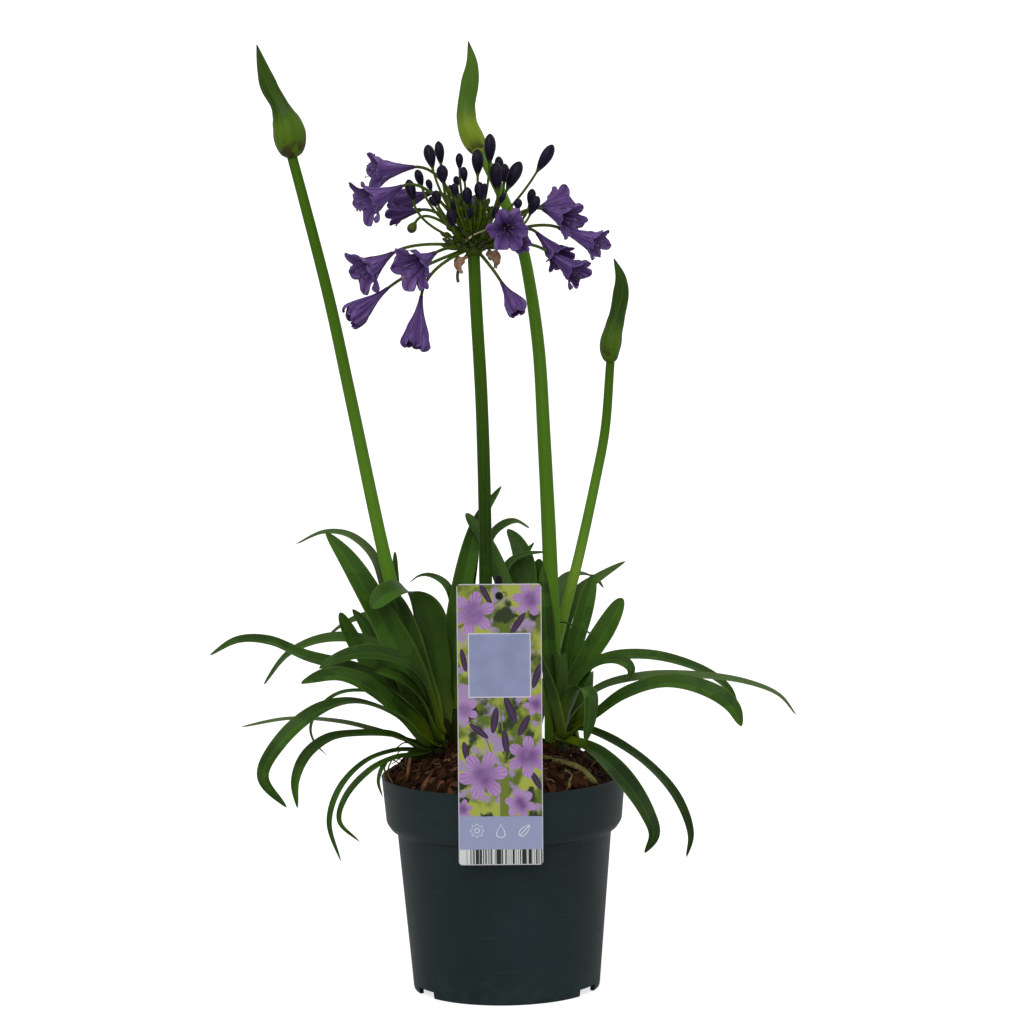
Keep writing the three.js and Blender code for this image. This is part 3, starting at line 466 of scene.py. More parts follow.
def rounded(profile, radius, steps=6):
    """Each corner becomes a curve from radius before it to radius after it, bent towards the corner:
    (1 - t)^2 before + 2t(1 - t) corner + t^2 after."""
    p, r = np.asarray(profile, float), np.asarray(radius, float)[:, None]
    back, on = np.roll(p, 1, axis=0) - p, np.roll(p, -1, axis=0) - p
    back[0], on[-1] = on[0], back[-1]
    before, after = p + unit(back) * r, p + unit(on) * r
    t = np.linspace(0, 1, steps)[:, None, None]
    curve = ((1 - t) ** 2 * before + 2 * t * (1 - t) * p + t**2 * after).swapaxes(0, 1)
    keep = np.ones(curve.shape[:2], bool)
    keep[np.asarray(radius) == 0, 1:] = False
    return curve[keep]


def turned(profile, sides):
    """Rings (r cos a, r sin a, z) of a profile carried round the upright axis."""
    r, z = profile[:, :1], np.broadcast_to(profile[:, 1:], (len(profile), sides))
    return np.stack([r * np.cos(circle(sides)), r * np.sin(circle(sides)), z], axis=-1)


def spun(angle):
    """The matrix that turns rows of x, y, z about the upright axis."""
    c, s = np.cos(angle), np.sin(angle)
    return np.array([(c, s, 0), (-s, c, 0), (0, 0, 1)])


pot_outline = rounded(POT_PROFILE, ROUND)
print("pot profile points", len(pot_outline))

# %% [markdown]
# ### Moulded plastic
# The plastic is satin, with the faint cloudy bloom that recycled material has, fine scuffs that run
# round the pot, and a little dust and dried water near the foot. The scuffs are noise that is stretched
# round the axis, so they are read from the angle and the height instead of the plain place.

# %% Pot plastic
def plastic(name, dark, light, dusty, roughness, scuffs=1.0):
    """Satin plastic: cloudy colour, scuffs that run round the upright axis, and dust towards the foot."""
    made, tree = new_material(name, IOR=1.5, Specular_IOR_Level=0.18)
    place = here(tree).parts()
    turn = reckon("ARCTAN2", place[1], place[0])
    cloud, grain = mottle(tree, 14.0), mottle(tree, 900.0)
    scuff = rise(fibres(place[2], 420.0, turn, 1.6), 0.93, 1.0)
    low = rise(place[2], 0.03, 0.0) * mottle(tree, 70.0)
    dust = [(scuff * (0.1 * scuffs), dusty), (low * (0.16 * scuffs), dusty)]
    rough = cloud * 0.08 + scuff * 0.12 + roughness
    ridged = fibres(place[2], 500.0, turn, 1.2) * 0.6 + grain
    return feed(made, coated(tint(cloud, dark, light), *dust), rough, ridged, bump=0.12, depth=0.0002)


POT_PLASTIC = plastic("Dark pot plastic", "1a2829", "1f2e30", "465a57", 0.4)
print("pot plastic has", len(POT_PLASTIC.node_tree.nodes), "nodes")

# %% Pot with its notches and drain holes
NOTCH_DEGREES, NOTCH_SIZE, NOTCH_OUT = (60, 180, 300), (23.0, 14.0, 11.0), 71.5
HOLES, HOLE_RADIUS, HOLE_CIRCLE = 6, 5.0, 52.0


def cutters():
    """One mesh of all that is cut away: a box at each notch and an upright round bar at each hole."""
    skin = Skin()
    w, d, h = (v / 2 for v in NOTCH_SIZE)
    box = np.array([[(-w, -d, z), (w, -d, z), (w, d, z), (-w, d, z)] for z in (-h, h)])
    for angle in np.radians(NOTCH_DEGREES):
        loft(skin, (box + (0, -NOTCH_OUT, 0)) @ spun(angle))
    for a in circle(HOLES):
        middle = np.array([(HOLE_CIRCLE * np.cos(a), HOLE_CIRCLE * np.sin(a), z) for z in (2.0, 12.0)])
        loft(skin, round_rings(middle, HOLE_RADIUS, 24, reference=(1, 0, 0))[0])
    return add_object("cutters", skin.mesh("cutters"))


def cut(thing, tool):
    """Takes the tool away from the thing for good, and removes the tool."""
    step = thing.modifiers.new("cut", "BOOLEAN")
    step.operation, step.solver, step.object = "DIFFERENCE", "EXACT", tool
    ready = thing.evaluated_get(bpy.context.evaluated_depsgraph_get())
    whole, thing.data = thing.data, bpy.data.meshes.new_from_object(ready)
    thing.modifiers.clear()
    thing.data.name = thing.name
    bpy.data.meshes.remove(whole)
    bpy.data.meshes.remove(tool.data)


pot_skin = Skin()
loft(pot_skin, turned(pot_outline, 192))
pot = pot_skin.piece("nursery_pot_shell", [POT_PLASTIC], ["nursery_pot"])
cut(pot, cutters())
pot.data.set_sharp_from_angle(angle=np.radians(38))
print("pot faces", len(pot.data.polygons))

# %% [markdown]
# ## Bark compost
# The pot is filled with composted bark: a mound that is highest in the middle, of crumbs a few
# millimetres across, with larger flat chips and some pale fibres lying on it. The mound is a turned body
# whose top is pushed up and down by bumps of three sizes. A chip is a box with rounded corners, a
# superellipsoid, so that a few dozen faces are enough for each of many hundreds.

# %% Mound
SOIL_EDGE, SOIL_RISE, SOIL_RADIUS, WALL_RADIUS = 166.0, 24.0, 90.0, 92.2
CHIP_COUNT, STRAND_COUNT = 1670, 60


def soil_height(r):
    """166 mm at the rim and 24 mm more in the middle, flat on top: 166 + 24 (1 - (r / 90)^4)."""
    return SOIL_EDGE + SOIL_RISE * (1 - np.minimum(r / SOIL_RADIUS, 1) ** 4)


def bark_top(r):
    """The bark itself: settled by 4.5 mm between the shoots and the rim, and heaped by 0.5 mm against it."""
    return soil_height(r) - 4.5 * ease(r, 25, 60) + 5 * ease(r, 70, 88)


SPLINTER = [(-74, -38, 170), (-73, -37, 179), (-71.5, -36, 188)]
SPLINTER_RADII = 0.85 * np.array([0.7, 0.9, 1.05, 0.95, 1.1, 1.0, 1.05, 0.9, 0.6])[:, None]
TWIGS = [
    [(-90, -20, 168), (-92, -20, 176), (-88, -21, 184), (-82, -22, 182), (-76, -24, 176)],
    [(-91, -14, 168), (-86, -16, 177), (-78, -19, 180), (-71, -24, 175)],
    [(-86, -30, 167), (-89, -28, 175), (-84, -24, 186), (-78, -20, 183)],
    [(-56, -6, 186), (-70, -14, 186), (-78, -22, 186), (-86, -26, 181)],
    [(-60, -10, 188), (-74, -14, 191), (-80, -16, 189), (-83, -20, 186)],
    [(-62, -2, 190), (-76, -4, 194), (-84, -8, 190), (-92, -10, 188)],
    [(-64, -44, 172), (-58, -48, 178), (-52, -50, 176), (-50, -53, 172)],
    [(66, -30, 175), (72, -26, 181), (79, -24, 178), (84, -22, 170)],
]


def mound(skin):
    """The filling: up the inside of the wall, then over the mound, where bumps 9, 4 and 2 mm wide push
    it by up to 1.9, 1.3 and 0.7 mm."""
    r = WALL_RADIUS * np.linspace(1, 0.0005, 110) ** 0.8
    top = np.stack([r, bark_top(r) - 1.2], axis=1)
    inside = [(0.05, 9.0), (70.3, 9.0), (81.2, 126.6), (89.3, 132.0), (WALL_RADIUS, 160.0)]
    rings = turned(np.vstack([inside, top]), 260)
    free = np.concatenate([np.zeros(len(inside)), ease(WALL_RADIUS - r, 0, 5)])[:, None]
    push = 1.9 * bumps(rings, 9.0, 1) + 1.3 * bumps(rings, 4.0, 2) + 0.7 * bumps(rings, 2.0, 3)
    rings[..., 2] += push * free
    loft(skin, rings, place=(0.5, 0.5, 0.5))


def chips(skin, count, draw):
    """Bark chips: x, y, z are powers of sines and cosines, sign(c) |c|^0.5, times three half lengths,
    with random dents, turned any way and laid along the slope of the mound."""
    v = np.radians([-78, -40, 0, 40, 78])[:, None]
    w = circle(8)[None]
    form = np.stack(np.broadcast_arrays(np.cos(v) * np.cos(w), np.cos(v) * np.sin(w), np.sin(v)), axis=-1)
    form = np.sign(form) * np.abs(form) ** 0.5
    around, spin = draw.random((2, count)) * 2 * np.pi
    length = 1.9 + 4.8 * draw.random(count) ** 2.6
    r = (91.5 - 1.25 * length) * np.sqrt(draw.random(count))
    half = np.stack([length, length * draw.uniform(0.35, 0.75, count), draw.uniform(0.6, 1.5, count)], axis=1)
    tip, roll = draw.normal(0, 0.4, (2, count))
    slope = -SOIL_RISE * 4 * (r / SOIL_RADIUS) ** 3 / SOIL_RADIUS
    for k in range(count):
        body = form * half[k] * (1 + 0.22 * draw.uniform(-1, 1, form.shape))
        body = body @ np.array([(1, 0, tip[k]), (0, 1, roll[k]), (-tip[k], -roll[k], 1)])
        body = body @ spun(spin[k]) @ np.array([(1, 0, slope[k]), (0, 1, 0), (0, 0, 1)])
        body = (body + (r[k], 0, bark_top(r[k]) - 0.4 + 0.6 * half[k, 2])) @ spun(around[k])
        shade = (draw.random(), draw.random(), 1.0)
        loft(skin, body, soft=False, place=shade, measure=form * half[k])


def strands(skin, count, draw):
    """Thin pale roots and fibres that lie on the mound in loose arcs."""
    for k in range(count):
        r, a = 84 * np.sqrt(draw.random()), draw.random() * 2 * np.pi
        turn, bend, reach = draw.random() * 2 * np.pi, draw.normal(0, 1.2), draw.uniform(5, 15)
        t = np.linspace(-0.5, 0.5, 5)
        x = r * np.cos(a) + reach * t * np.cos(turn + bend * t)
        y = r * np.sin(a) + reach * t * np.sin(turn + bend * t)
        z = bark_top(np.hypot(x, y)) + 1.6 + draw.uniform(-0.5, 1.3, 5)
        path = smooth_path(np.stack([x, y, z], axis=1), np.linspace(0, 1, 10))
        rings, _ = round_rings(path, draw.uniform(0.18, 0.4), 5, reference=(0, 0, 1))
        loft(skin, rings, place=(draw.random(), 0.5, 0.0))


def litter(skin):
    """One upright splinter, and dry twigs that arch over the rim: boxes and thin rods along a path."""
    path = smooth_path(SPLINTER, np.linspace(0, 1, 9))
    radii = SPLINTER_RADII * (1 + 0.25 * bumps(path, 3.0, 8)[:, None])
    rings, _ = round_rings(path, radii, 8, (1, 0, 0), flat=1.6)
    loft(skin, rings, soft=False, place=(1.0, 0.6, 1.0), measure=rings - path[0])
    for way in TWIGS:
        path = smooth_path(way, np.linspace(0, 1, 24))
        path = path + 0.5 * np.stack([bumps(path + 7 * i, 3.0, 4) for i in range(3)], axis=1)
        rings, _ = round_rings(path, np.linspace(0.85, 0.35, 24), 6, reference=(0.3, 1, 0))
        loft(skin, rings, place=(0.25, 0.5, 0.0))


# %% [markdown]
# ### Bark finish
# Bark is a dark red-brown. The crumbs between the chips are nearly black, partly their own colour and
# partly painted shade in the gaps. Each chip has its own lightness, kept in the mesh, and fine streaks
# along its length. The fibres are the same finish at its palest.

# %% Bark material and piece
def bark():
    """Crumbs and chips: kept tone times cloudy and streaky change, matt and rough."""
    made, tree = new_material("Composted bark", Specular_IOR_Level=0.1)
    (tone, second, sort), across, _ = kept(tree)
    crumb, fine = mottle(tree, 210.0), mottle(tree, 800.0)
    streak = fibres(across[1], 1.6, across[0], 0.25, second)
    chip = tint(reckon("POWER", tone, 1.8), "150802", "5c3721")
    chip = coated(chip, (rise(tone, 0.9, 1.0) * 0.6, "8b6747"), (streak * 0.45, "241309"))
    # The crumbs between the chips: nearly black, partly their own colour and partly painted shade in the
    # gaps.
    ground = tint(crumb, "0d0400", "2e1808")
    fibre = tint(tone, "54401f", "8b7a4c")
    colour = coated(ground, (fine * 0.3, "3c2413"), (rise(sort, 0.6, 0.9), chip),
                    (rise(sort, 0.25, 0.0), fibre))
    return feed(made, colour, fine * 0.2 + 0.72, streak * 0.5 + fine, bump=0.6, depth=0.0006)


draw = np.random.default_rng(21)
bark_skin = Skin()
mound(bark_skin)
chips(bark_skin, CHIP_COUNT, draw)
strands(bark_skin, STRAND_COUNT, draw)
litter(bark_skin)
bark_skin.piece("bark_mound", [bark()], ["bark_compost"])
print("compost points", bark_skin.count)

# %% [markdown]
# ## Leaves
# A leaf is a strap: narrow and folded where it leaves its shoot, wide and shallow along the arch, and
# running out to a point or a round tip. It is made as a loft along a smooth path. The ring is the leaf's
# cross-section, a shallow V with a skin of about a millimetre that thins to nothing at both edges. Each
# leaf starts in the short cuff that the fan of leaves shares. The table gives the place of each fan, and
# for each leaf its width, how far its upper face is rolled from level along the way, and its path.

# %% Leaf table
def leaf(width, face, way, blunt=False, cut=False, taper=4.5, tone=None):
    """One leaf: width in mm, roll of the face in degrees at even steps, points of its path, and whether
    its tip is blunt or cut square. Tone runs from 0, deep green, to 1, light green. It darkens further
    below 0, painted shade for leaves that hang in shadow, and turns greyish above 1, partly a grey bloom
    and partly painted sheen. With no tone of its own a leaf gets one by chance; a given tone also paints
    how lit or shaded the leaf is."""
    return dict(width=width, face=face, way=way, blunt=blunt, cut=cut, taper=taper, tone=tone)


# Tones below 0 in this table are painted shade for leaves and necks in shadow, and the grey above 1 is partly
# painted sheen.
SHOOTS = {
    "shoot_left_front": dict(at=(-50, 0), necks=[(-50, 0, 9, 8, 14, -0.5), (-64, -3, 15, 8, 4, -1)], leaves=[
        leaf(29, [70, 72], [(-58, -6, 210), (-78, -13, 263), (-98, -16, 305), (-117, -15, 339),
            (-134, -11, 361)], taper=2.5, tone=0.85),
        leaf(22, [74, 74], [(-54, 4, 209), (-61, 5, 234), (-70, 5, 265), (-78, 5, 291),
            (-84, 7, 310)], blunt=True),
        leaf(14, [50, 42, 30], [(-61, -14, 216), (-90, -26, 246), (-120, -42, 260), (-150, -54, 270.5),
            (-177, -64, 284), (-200, -71, 286), (-221, -76, 276)]),
        leaf(18, [40, 34, 40], [(-63, -28, 247), (-83, -44, 267), (-108, -52, 272), (-127, -58, 268),
            (-139, -60, 262)]),
        leaf(24, [55, 50, 30], [(-58, -14, 199), (-80, -42, 225), (-104, -62, 248), (-127, -72, 258),
            (-152, -80, 254)]),
        leaf(17, [50, 45], [(-53, -14, 205), (-66, -34, 238), (-82, -47, 253), (-97, -54, 258)]),
        leaf(15, [12, 14, 48], [(-60, -20, 195), (-82, -50, 223), (-112, -76, 238), (-139, -94, 234.5),
            (-167, -104, 213.5), (-181, -107, 188), (-164, -104, 163)]),
        leaf(11, [10, 24, 45], [(-60, -14, 190), (-83, -38, 205), (-109, -56, 210), (-133, -69, 209),
            (-150, -76, 197), (-158, -80, 179), (-157, -80, 158)]),
        leaf(7, [22, 18], [(-68, -9, 195), (-97, -18, 206), (-125, -28, 215), (-163, -39, 220),
            (-200, -48, 216)], tone=1.5),
        leaf(6, [10, 20, 42], [(-61, -12, 190), (-83, -22, 191), (-106, -34, 185), (-126, -46, 166),
            (-134, -51, 141), (-126, -52, 111)], tone=0.3),
        leaf(6, [10, 20, 42], [(-60, -17, 188), (-83, -31, 187), (-102, -44, 180), (-121, -53, 161),
            (-126, -56, 143), (-111, -58, 127)], tone=0.2),
        leaf(4, [0, 20, 40], [(-66, -14, 187), (-80, -24, 186), (-91, -38, 184), (-96, -46, 172),
            (-93, -50, 160)]),
    ]),
    "shoot_left_back": dict(at=(-60, 34), necks=[(-60, 34, 8, 7, 15, 0.3)], leaves=[
        leaf(13, [68, 74], [(-70, 34, 214), (-92, 35, 235), (-111, 37, 260), (-121, 38, 279),
            (-126, 38, 291)], blunt=True),
        leaf(15, [66, 70], [(-70, 48, 217), (-82, 50, 235), (-96, 54, 258), (-108, 59, 279),
            (-117, 62, 290)]),
        leaf(14, [50, 30, 24], [(-74, 54, 226), (-83, 61, 257), (-94, 69, 278), (-108, 77, 281),
            (-126, 83, 274), (-143, 88, 261)]),
        leaf(12, [34, 26, 36], [(-72, 38, 225), (-86, 45, 256), (-107, 52, 266), (-139, 57, 267),
            (-167, 58, 256), (-188, 58, 232)], tone=1.12, taper=8),
        leaf(5, [20, 20], [(-68, 26, 205), (-90, 24, 226), (-110, 24, 231), (-128, 24, 229),
            (-142, 23, 219), (-150, 21, 203), (-147, 20, 191), (-138, 20, 181)]),
        leaf(7, [70, 70], [(-68, 38, 230), (-78, 36, 280), (-82, 34, 316), (-82, 33, 339)], blunt=True),
        leaf(10, [46, 34, 22], [(-71, 34, 229), (-83, 38, 273), (-91, 41, 308), (-100, 48, 334),
            (-118, 58, 349), (-138, 66, 351), (-161, 76, 341)], tone=1.25),
        leaf(15, [0], [(-70, 56, 214), (-76, 84, 228), (-74, 112, 198)]),
        leaf(15, [0], [(-60, 60, 216), (-52, 90, 238), (-46, 113, 210)]),
    ]),
    # Both necks here have tones far below 0, so they come out nearly black: painted shade at the foot of this
    # shoot, which stands in deep shadow.
    "shoot_centre_left": dict(at=(-36, 38), necks=[(-36, 38, 9, 7, 26, -0.8), (-43, 39, 9, 8, 24, -1)],
                              leaves=[
        leaf(25, [-40, -42, -45, -45, -15, 16, 26], [(-47, 34, 220), (-51, 24, 258), (-55, 8, 288),
            (-64, -8, 308), (-75, -20, 316), (-87, -28, 314), (-99, -34, 304)], blunt=True, tone=1.0),
        leaf(22, [74, 74], [(-39, 40, 220), (-36, 41, 267), (-27, 42, 322), (-15, 43, 363),
            (2, 43, 388)], taper=2, tone=0.9),
        leaf(10, [66, 66], [(-33, 52, 218), (-28, 53, 281), (-21, 54, 321), (-17, 55, 337)]),
        leaf(8, [60, 40, 24], [(-39, 58, 257), (-38, 62, 296), (-44, 65, 309), (-56, 69, 315),
            (-65, 72, 314), (-72, 74, 309)]),
    ]),
    "shoot_back": dict(at=(2, 50), necks=[(2, 50, 9, 8, 15, 0.4)], leaves=[
        leaf(14, [-60, -60], [(5, 40, 259), (4, 37, 305), (-6, 36, 334), (-16, 35, 353),
            (-26, 35, 368)], blunt=True, tone=0.8),
        leaf(9, [-62, -62, -62, -62, -62, -50, 10, 50], [(-6, 58, 264), (-9, 65, 311), (-6, 73, 344),
            (3, 78, 353), (13, 83, 355), (23.5, 90, 349)], blunt=True, tone=0.4),
        leaf(19, [-20, -8, 0], [(18, 62, 248), (20, 66, 295), (19, 70, 325), (13, 73, 341),
            (6, 75, 350)], tone=1.2, taper=8),
        leaf(13, [70, 62, 20], [(2, 48, 265), (1, 47, 305), (7, 47, 325), (17, 48, 332), (36, 49, 335)]),
        leaf(11, [62, 58], [(7, 58, 264), (4, 58, 300), (11, 59, 320), (27, 60, 341)]),
        leaf(17, [34, 34], [(25, 66, 247), (28, 70, 291), (30, 73, 312), (31, 75, 326)], blunt=True,
            tone=0.9),
        leaf(16, [0], [(-4, 68, 220), (-14, 92, 240), (-22, 114, 205)]),
        leaf(15, [0], [(16, 66, 214), (34, 92, 222), (46, 114, 180)]),
    ]),
    "shoot_right_front": dict(at=(44, -8), necks=[(44, -8, 8, 7, 16, 0.6)], leaves=[
        leaf(12, [0, 0], [(45, -19, 222), (46, -25, 244), (45, -30, 265)], cut=True),
        leaf(14, [0, 4], [(50, -22, 222), (55, -32, 236), (62, -44, 241), (67, -52, 237), (67, -56, 222),
            (63, -57, 201)]),
        leaf(15, [44, 38, 44], [(51, -4, 220), (60, -9, 243), (75, -15, 256), (90, -22, 259),
            (99, -27, 253), (98, -28, 244)]),
        leaf(16, [26, 34, 52], [(57, -18, 205), (73, -30, 217), (95, -44, 235), (128, -57, 246),
            (159, -66, 240), (175, -70, 229), (182, -72, 214)], taper=9),
        leaf(10, [32, 26, 20], [(52, -2, 212), (75, -7, 234), (107, -15, 244), (145, -23, 246),
            (187, -29, 241), (213, -33, 231), (226, -35, 216)], tone=1.3),
        # The next two hanging leaves have tones below 0: painted shade, as they hang in the shadow of the
        # fan.
        leaf(17, [4, 10, 18], [(52, -30, 196), (71, -52, 192), (93, -79, 174), (108, -98, 153),
            (113, -104, 138), (106, -106, 124)], tone=-0.15),
        leaf(11, [10, 14, 24], [(54, -16, 205), (79, -31, 200), (109, -50, 183), (132, -63, 158),
            (142, -68, 131), (139, -69, 113)], tone=-0.2),
        leaf(15, [78, 78], [(40, -10, 229), (36, -10, 265), (34, -10, 304), (33, -8, 331)]),
        leaf(20, [34, 34], [(41, -22, 214), (37, -27, 235), (30, -33, 260), (22, -38, 286)]),
    ]),
    "shoot_right_back": dict(at=(54, 32), necks=[(54, 32, 8, 7, 15, 0.2)], leaves=[
        leaf(14, [74, 78], [(50, 31, 228), (56, 32, 258), (64, 34, 286), (73, 36, 318)], blunt=True,
            tone=0.75),
        leaf(18, [76, 76], [(57, 20, 231), (68, 18, 255), (83, 19, 279), (95, 21, 301)], blunt=True,
            tone=1.0),
        leaf(12, [34, 34], [(46, 57, 240), (50, 62, 276), (61, 66, 299), (78, 70, 311), (99, 74, 323)],
            tone=1.2),
        leaf(13, [8, 18, 14], [(49, 62, 248), (44, 73, 286), (49, 82, 305), (59, 88, 311), (73, 93, 309),
            (82, 97, 299)], tone=1.3),
        leaf(15, [36, 22, 26], [(53, 26, 221), (64, 18, 243), (84, 10, 255), (119, 1, 257),
            (157, -7, 246), (175, -12, 233), (182, -15, 219)]),
        leaf(4, [0], [(42, 38, 235), (38, 40, 269), (45, 37, 280), (57, 20, 280), (68, 10, 276),
            (77, 6, 269)]),
        leaf(15, [0], [(62, 52, 212), (66, 84, 232), (62, 114, 205)]),
        leaf(16, [0], [(47, 54, 214), (42, 88, 238), (36, 113, 212)]),
    ]),
}
print("leaves", sum(len(shoot["leaves"]) for shoot in SHOOTS.values()))

# %% [markdown]
# ### Leaf shape
# Across the leaf, eleven points on the upper face and nine on the lower make one ring. Along it, rows
# stand closer near the tip, where the outline turns fast. The fold is deep at the foot and shallow
# further on, and slow waves in width and roll keep two leaves from looking alike.

# %% Leaf and shoot surfaces
CROSS = np.concatenate([np.linspace(-1, 1, 11), np.linspace(0.8, -0.8, 9)])
FACE_UP = np.concatenate([np.ones(11), -np.ones(9)])
LEAF_SHARES = 1 - (1 - np.linspace(0, 1, 66)) ** 1.5


def half_width(leaf, s):
    """Half the width at share s: 0.55 of it at the foot, all of it from 0.35 on, times
    (1 - s^late)^bluntness towards the tip."""
    if leaf["cut"]:
        return leaf["width"] / 2 * mixed(0.4, 1, s)
    late, bluntness = (9, 0.5) if leaf["blunt"] else (leaf["taper"], 0.62)
    foot = mixed(0.55, 1, ease(s, 0, 0.35))
    return np.maximum(leaf["width"] / 2 * foot * (1 - s**late) ** bluntness, 0.3)


def strap(skin, path, level, roll, half, fold, thick, seed, tone, slot=0, near=1):
    """A loft of flat rings: path + k half * across + (fold half |k|^1.5 - lower thick (1 - k^4)) * up,
    with across level at a right angle to the path and then rolled round it."""
    along, across, _ = directions(path, level)
    turn = np.radians(roll)[:, None]
    across = across * np.cos(turn) + np.cross(along, across) * np.sin(turn)
    up = np.cross(across, along)
    half, k = half[:, None], CROSS[None]
    lift = fold[:, None] * half * np.abs(k) ** 1.5
    lift = lift - (FACE_UP < 0) * thick[:, None] * (1 - k**4) * np.minimum(1, half)
    rings = path[:, None] + (half * k)[..., None] * across[:, None] + lift[..., None] * up[:, None]
    far = distances(path)[:, None]
    loft(skin, rings, slot, place=(near * k, np.linspace(0, 1, len(path))[:, None], seed),
         measure=(k * half.max(), far, half), kind=(FACE_UP, tone, far))


def add_leaf(skin, at, leaf, draw):
    """A leaf from the middle of its shoot, 5 mm above the bark, along its path."""
    start = (*at, soil_height(np.hypot(*at)) + 5)
    s = LEAF_SHARES
    path = smooth_path([start, *leaf["way"]], s)
    run = unit(np.subtract(leaf["way"][-1][:2], at))
    level = (run[1], -run[0], 0.0)
    faces = np.interp(s, np.linspace(0, 1, len(leaf["face"])), leaf["face"])
    a, b, seed = draw.random(3)
    hand = -1 if run[0] < 0 else 1
    roll = hand * faces + 5 * np.sin(2 * np.pi * (1.3 * s + a)) * ease(s, 0.1, 0.4)
    half = half_width(leaf, s) * (1 + 0.035 * np.sin(2 * np.pi * (2.1 * s + b)))
    fold = mixed(0.75, 0.3, ease(s, 0, 0.4))
    thick = mixed(2.0, 0.7, ease(s, 0, 0.35))
    tone = mixed(0.0, 0.55, seed) if leaf["tone"] is None else leaf["tone"]
    strap(skin, path, level, roll, half, fold, thick, seed, tone, near=hand)


def add_neck(skin, x, y, wide, deep, tall, tone, draw):
    """A short neck that leaves share: an upright oval whose radius swells and shrinks nine times round, as
    folded leaf feet do, and narrows from 0.8 to 0.35 of itself at the top."""
    ground = soil_height(np.hypot(x, y))
    rise_mm = np.linspace(-26, tall, 26)
    share = np.interp(rise_mm, [-26, 0, tall * 0.7, tall], [0.85, 0.8, 0.62, 0.35])
    a = circle(72)[None]
    ribs = 1 + 0.055 * np.cos(9 * a + 5 * draw.random()) + 0.03 * np.cos(4 * a + rise_mm[:, None] / 9)
    x = x + wide * share[:, None] * ribs * np.cos(a)
    y = y + deep * share[:, None] * ribs * np.sin(a)
    z = np.broadcast_to(ground + rise_mm[:, None], x.shape)
    far = np.maximum(rise_mm[:, None] + 3, 0) * 0.6
    loft(skin, np.stack([x, y, z], axis=-1), place=(np.sin(9 * a), 0.0, draw.random()),
         measure=(9 * a, far, 9.0), kind=(1.0, tone, 0.0))


# %% [markdown]
# ### Leaf finish
# The upper face is a deep green with fine veins that run from foot to tip. It has a thin pale edge, is
# yellow-green near the shoot, and is greyer and paler below. A waxy leaf is fairly smooth, so broad
# soft highlights show its bend. Veins are both a change of colour and a height for the bump.

# %% Leaf material and pieces
def leaf_material():
    """Deep green by the leaf's tone, then clouds, veins, a change of tone along the leaf, one half of the
    fold in painted shade, a grey above tone 1 that is partly painted sheen, painted shade below tone 0,
    pale middle and edges, a pale foot with brown stains that turn nearly black on the darkest necks as
    partly painted shade, and a greyer lower face."""
    made, tree = new_material("Strap leaf", IOR=1.42, Specular_IOR_Level=0.2)
    place, measure, kind = kept(tree)
    across, along, tone = measure[0], measure[1], kind[1]
    veins = fibres(across, 1.7, along, 0.02, place[2])
    broad = fibres(across, 0.35, along, 0.012, place[2])
    swing = rise(fibres(across, 0.03, along, 0.03, place[2]), 0.4, 0.62)
    cloud, ragged = mottle(tree, 22.0), mottle(tree, 240.0) * -6.0 + along
    footing = tint(rise(measure[2], 3.5, 6.5), "28340a", "768a12")
    # The stains: real brown marks at the foot of each leaf, and for tones far below 0 a nearly black brown
    # that is partly painted shade.
    stain = reckon("MAXIMUM", rise(ragged, 7.0, 0.0), rise(tone, -0.2, -0.8))
    green = coated(
        tint(tone, "1d3408", "375c12"),
        (cloud * 0.4, "24400a"),
        (broad * 0.35, "395c16"),
        (veins * 0.3, "41641f"),
        (swing * 0.4, "4a741e"),
        # painted shade on one half of the folded leaf
        (rise(place[0], 0.06, -0.06) * 0.35, "1f2f0c"),
        # grey above tone 1: partly a grey bloom, partly painted sheen
        (rise(tone, 1.0, 1.5) * 0.6, "6a7b50"),
        # painted shade: darker below tone 0
        (rise(tone, 0.0, -0.2) * 0.7, "12250a"),
        (rise(abs(place[0]), 0.14, 0.0) * 0.3, "476f1d"),
        (rise(abs(place[0]), 0.84, 0.98) * 0.5, "768c3c"),
        (rise(along, 55.0, 8.0) * 0.75, footing),
        (stain * 0.9, "191207"),
        (rise(kind[0], 0.0, -0.5) * 0.5, "4c6832"),
    )
    return feed(made, green, cloud * 0.12 + 0.36, broad * 1.4 + veins, bump=0.35, depth=0.00025)


LEAF_GREEN = leaf_material()
draw = np.random.default_rng(4)
for name, shoot in SHOOTS.items():
    fan = Skin()
    for neck in shoot["necks"]:
        add_neck(fan, *neck, draw)
    for one in shoot["leaves"]:
        add_leaf(fan, shoot["at"], one, draw)
    fan.piece("leaves_" + name, [LEAF_GREEN], [name])
    print(name, "leaves", len(shoot["leaves"]), "points", fan.count)

# %% [markdown]
# ## Flower stems
# Each bare stem is a long round rod that thins slowly towards the top, slightly oval and faintly ribbed.
# It is a loft of round rings. The four stems differ in colour: three are fresh green, and the flowering
# one is dark, most of all towards the bark.

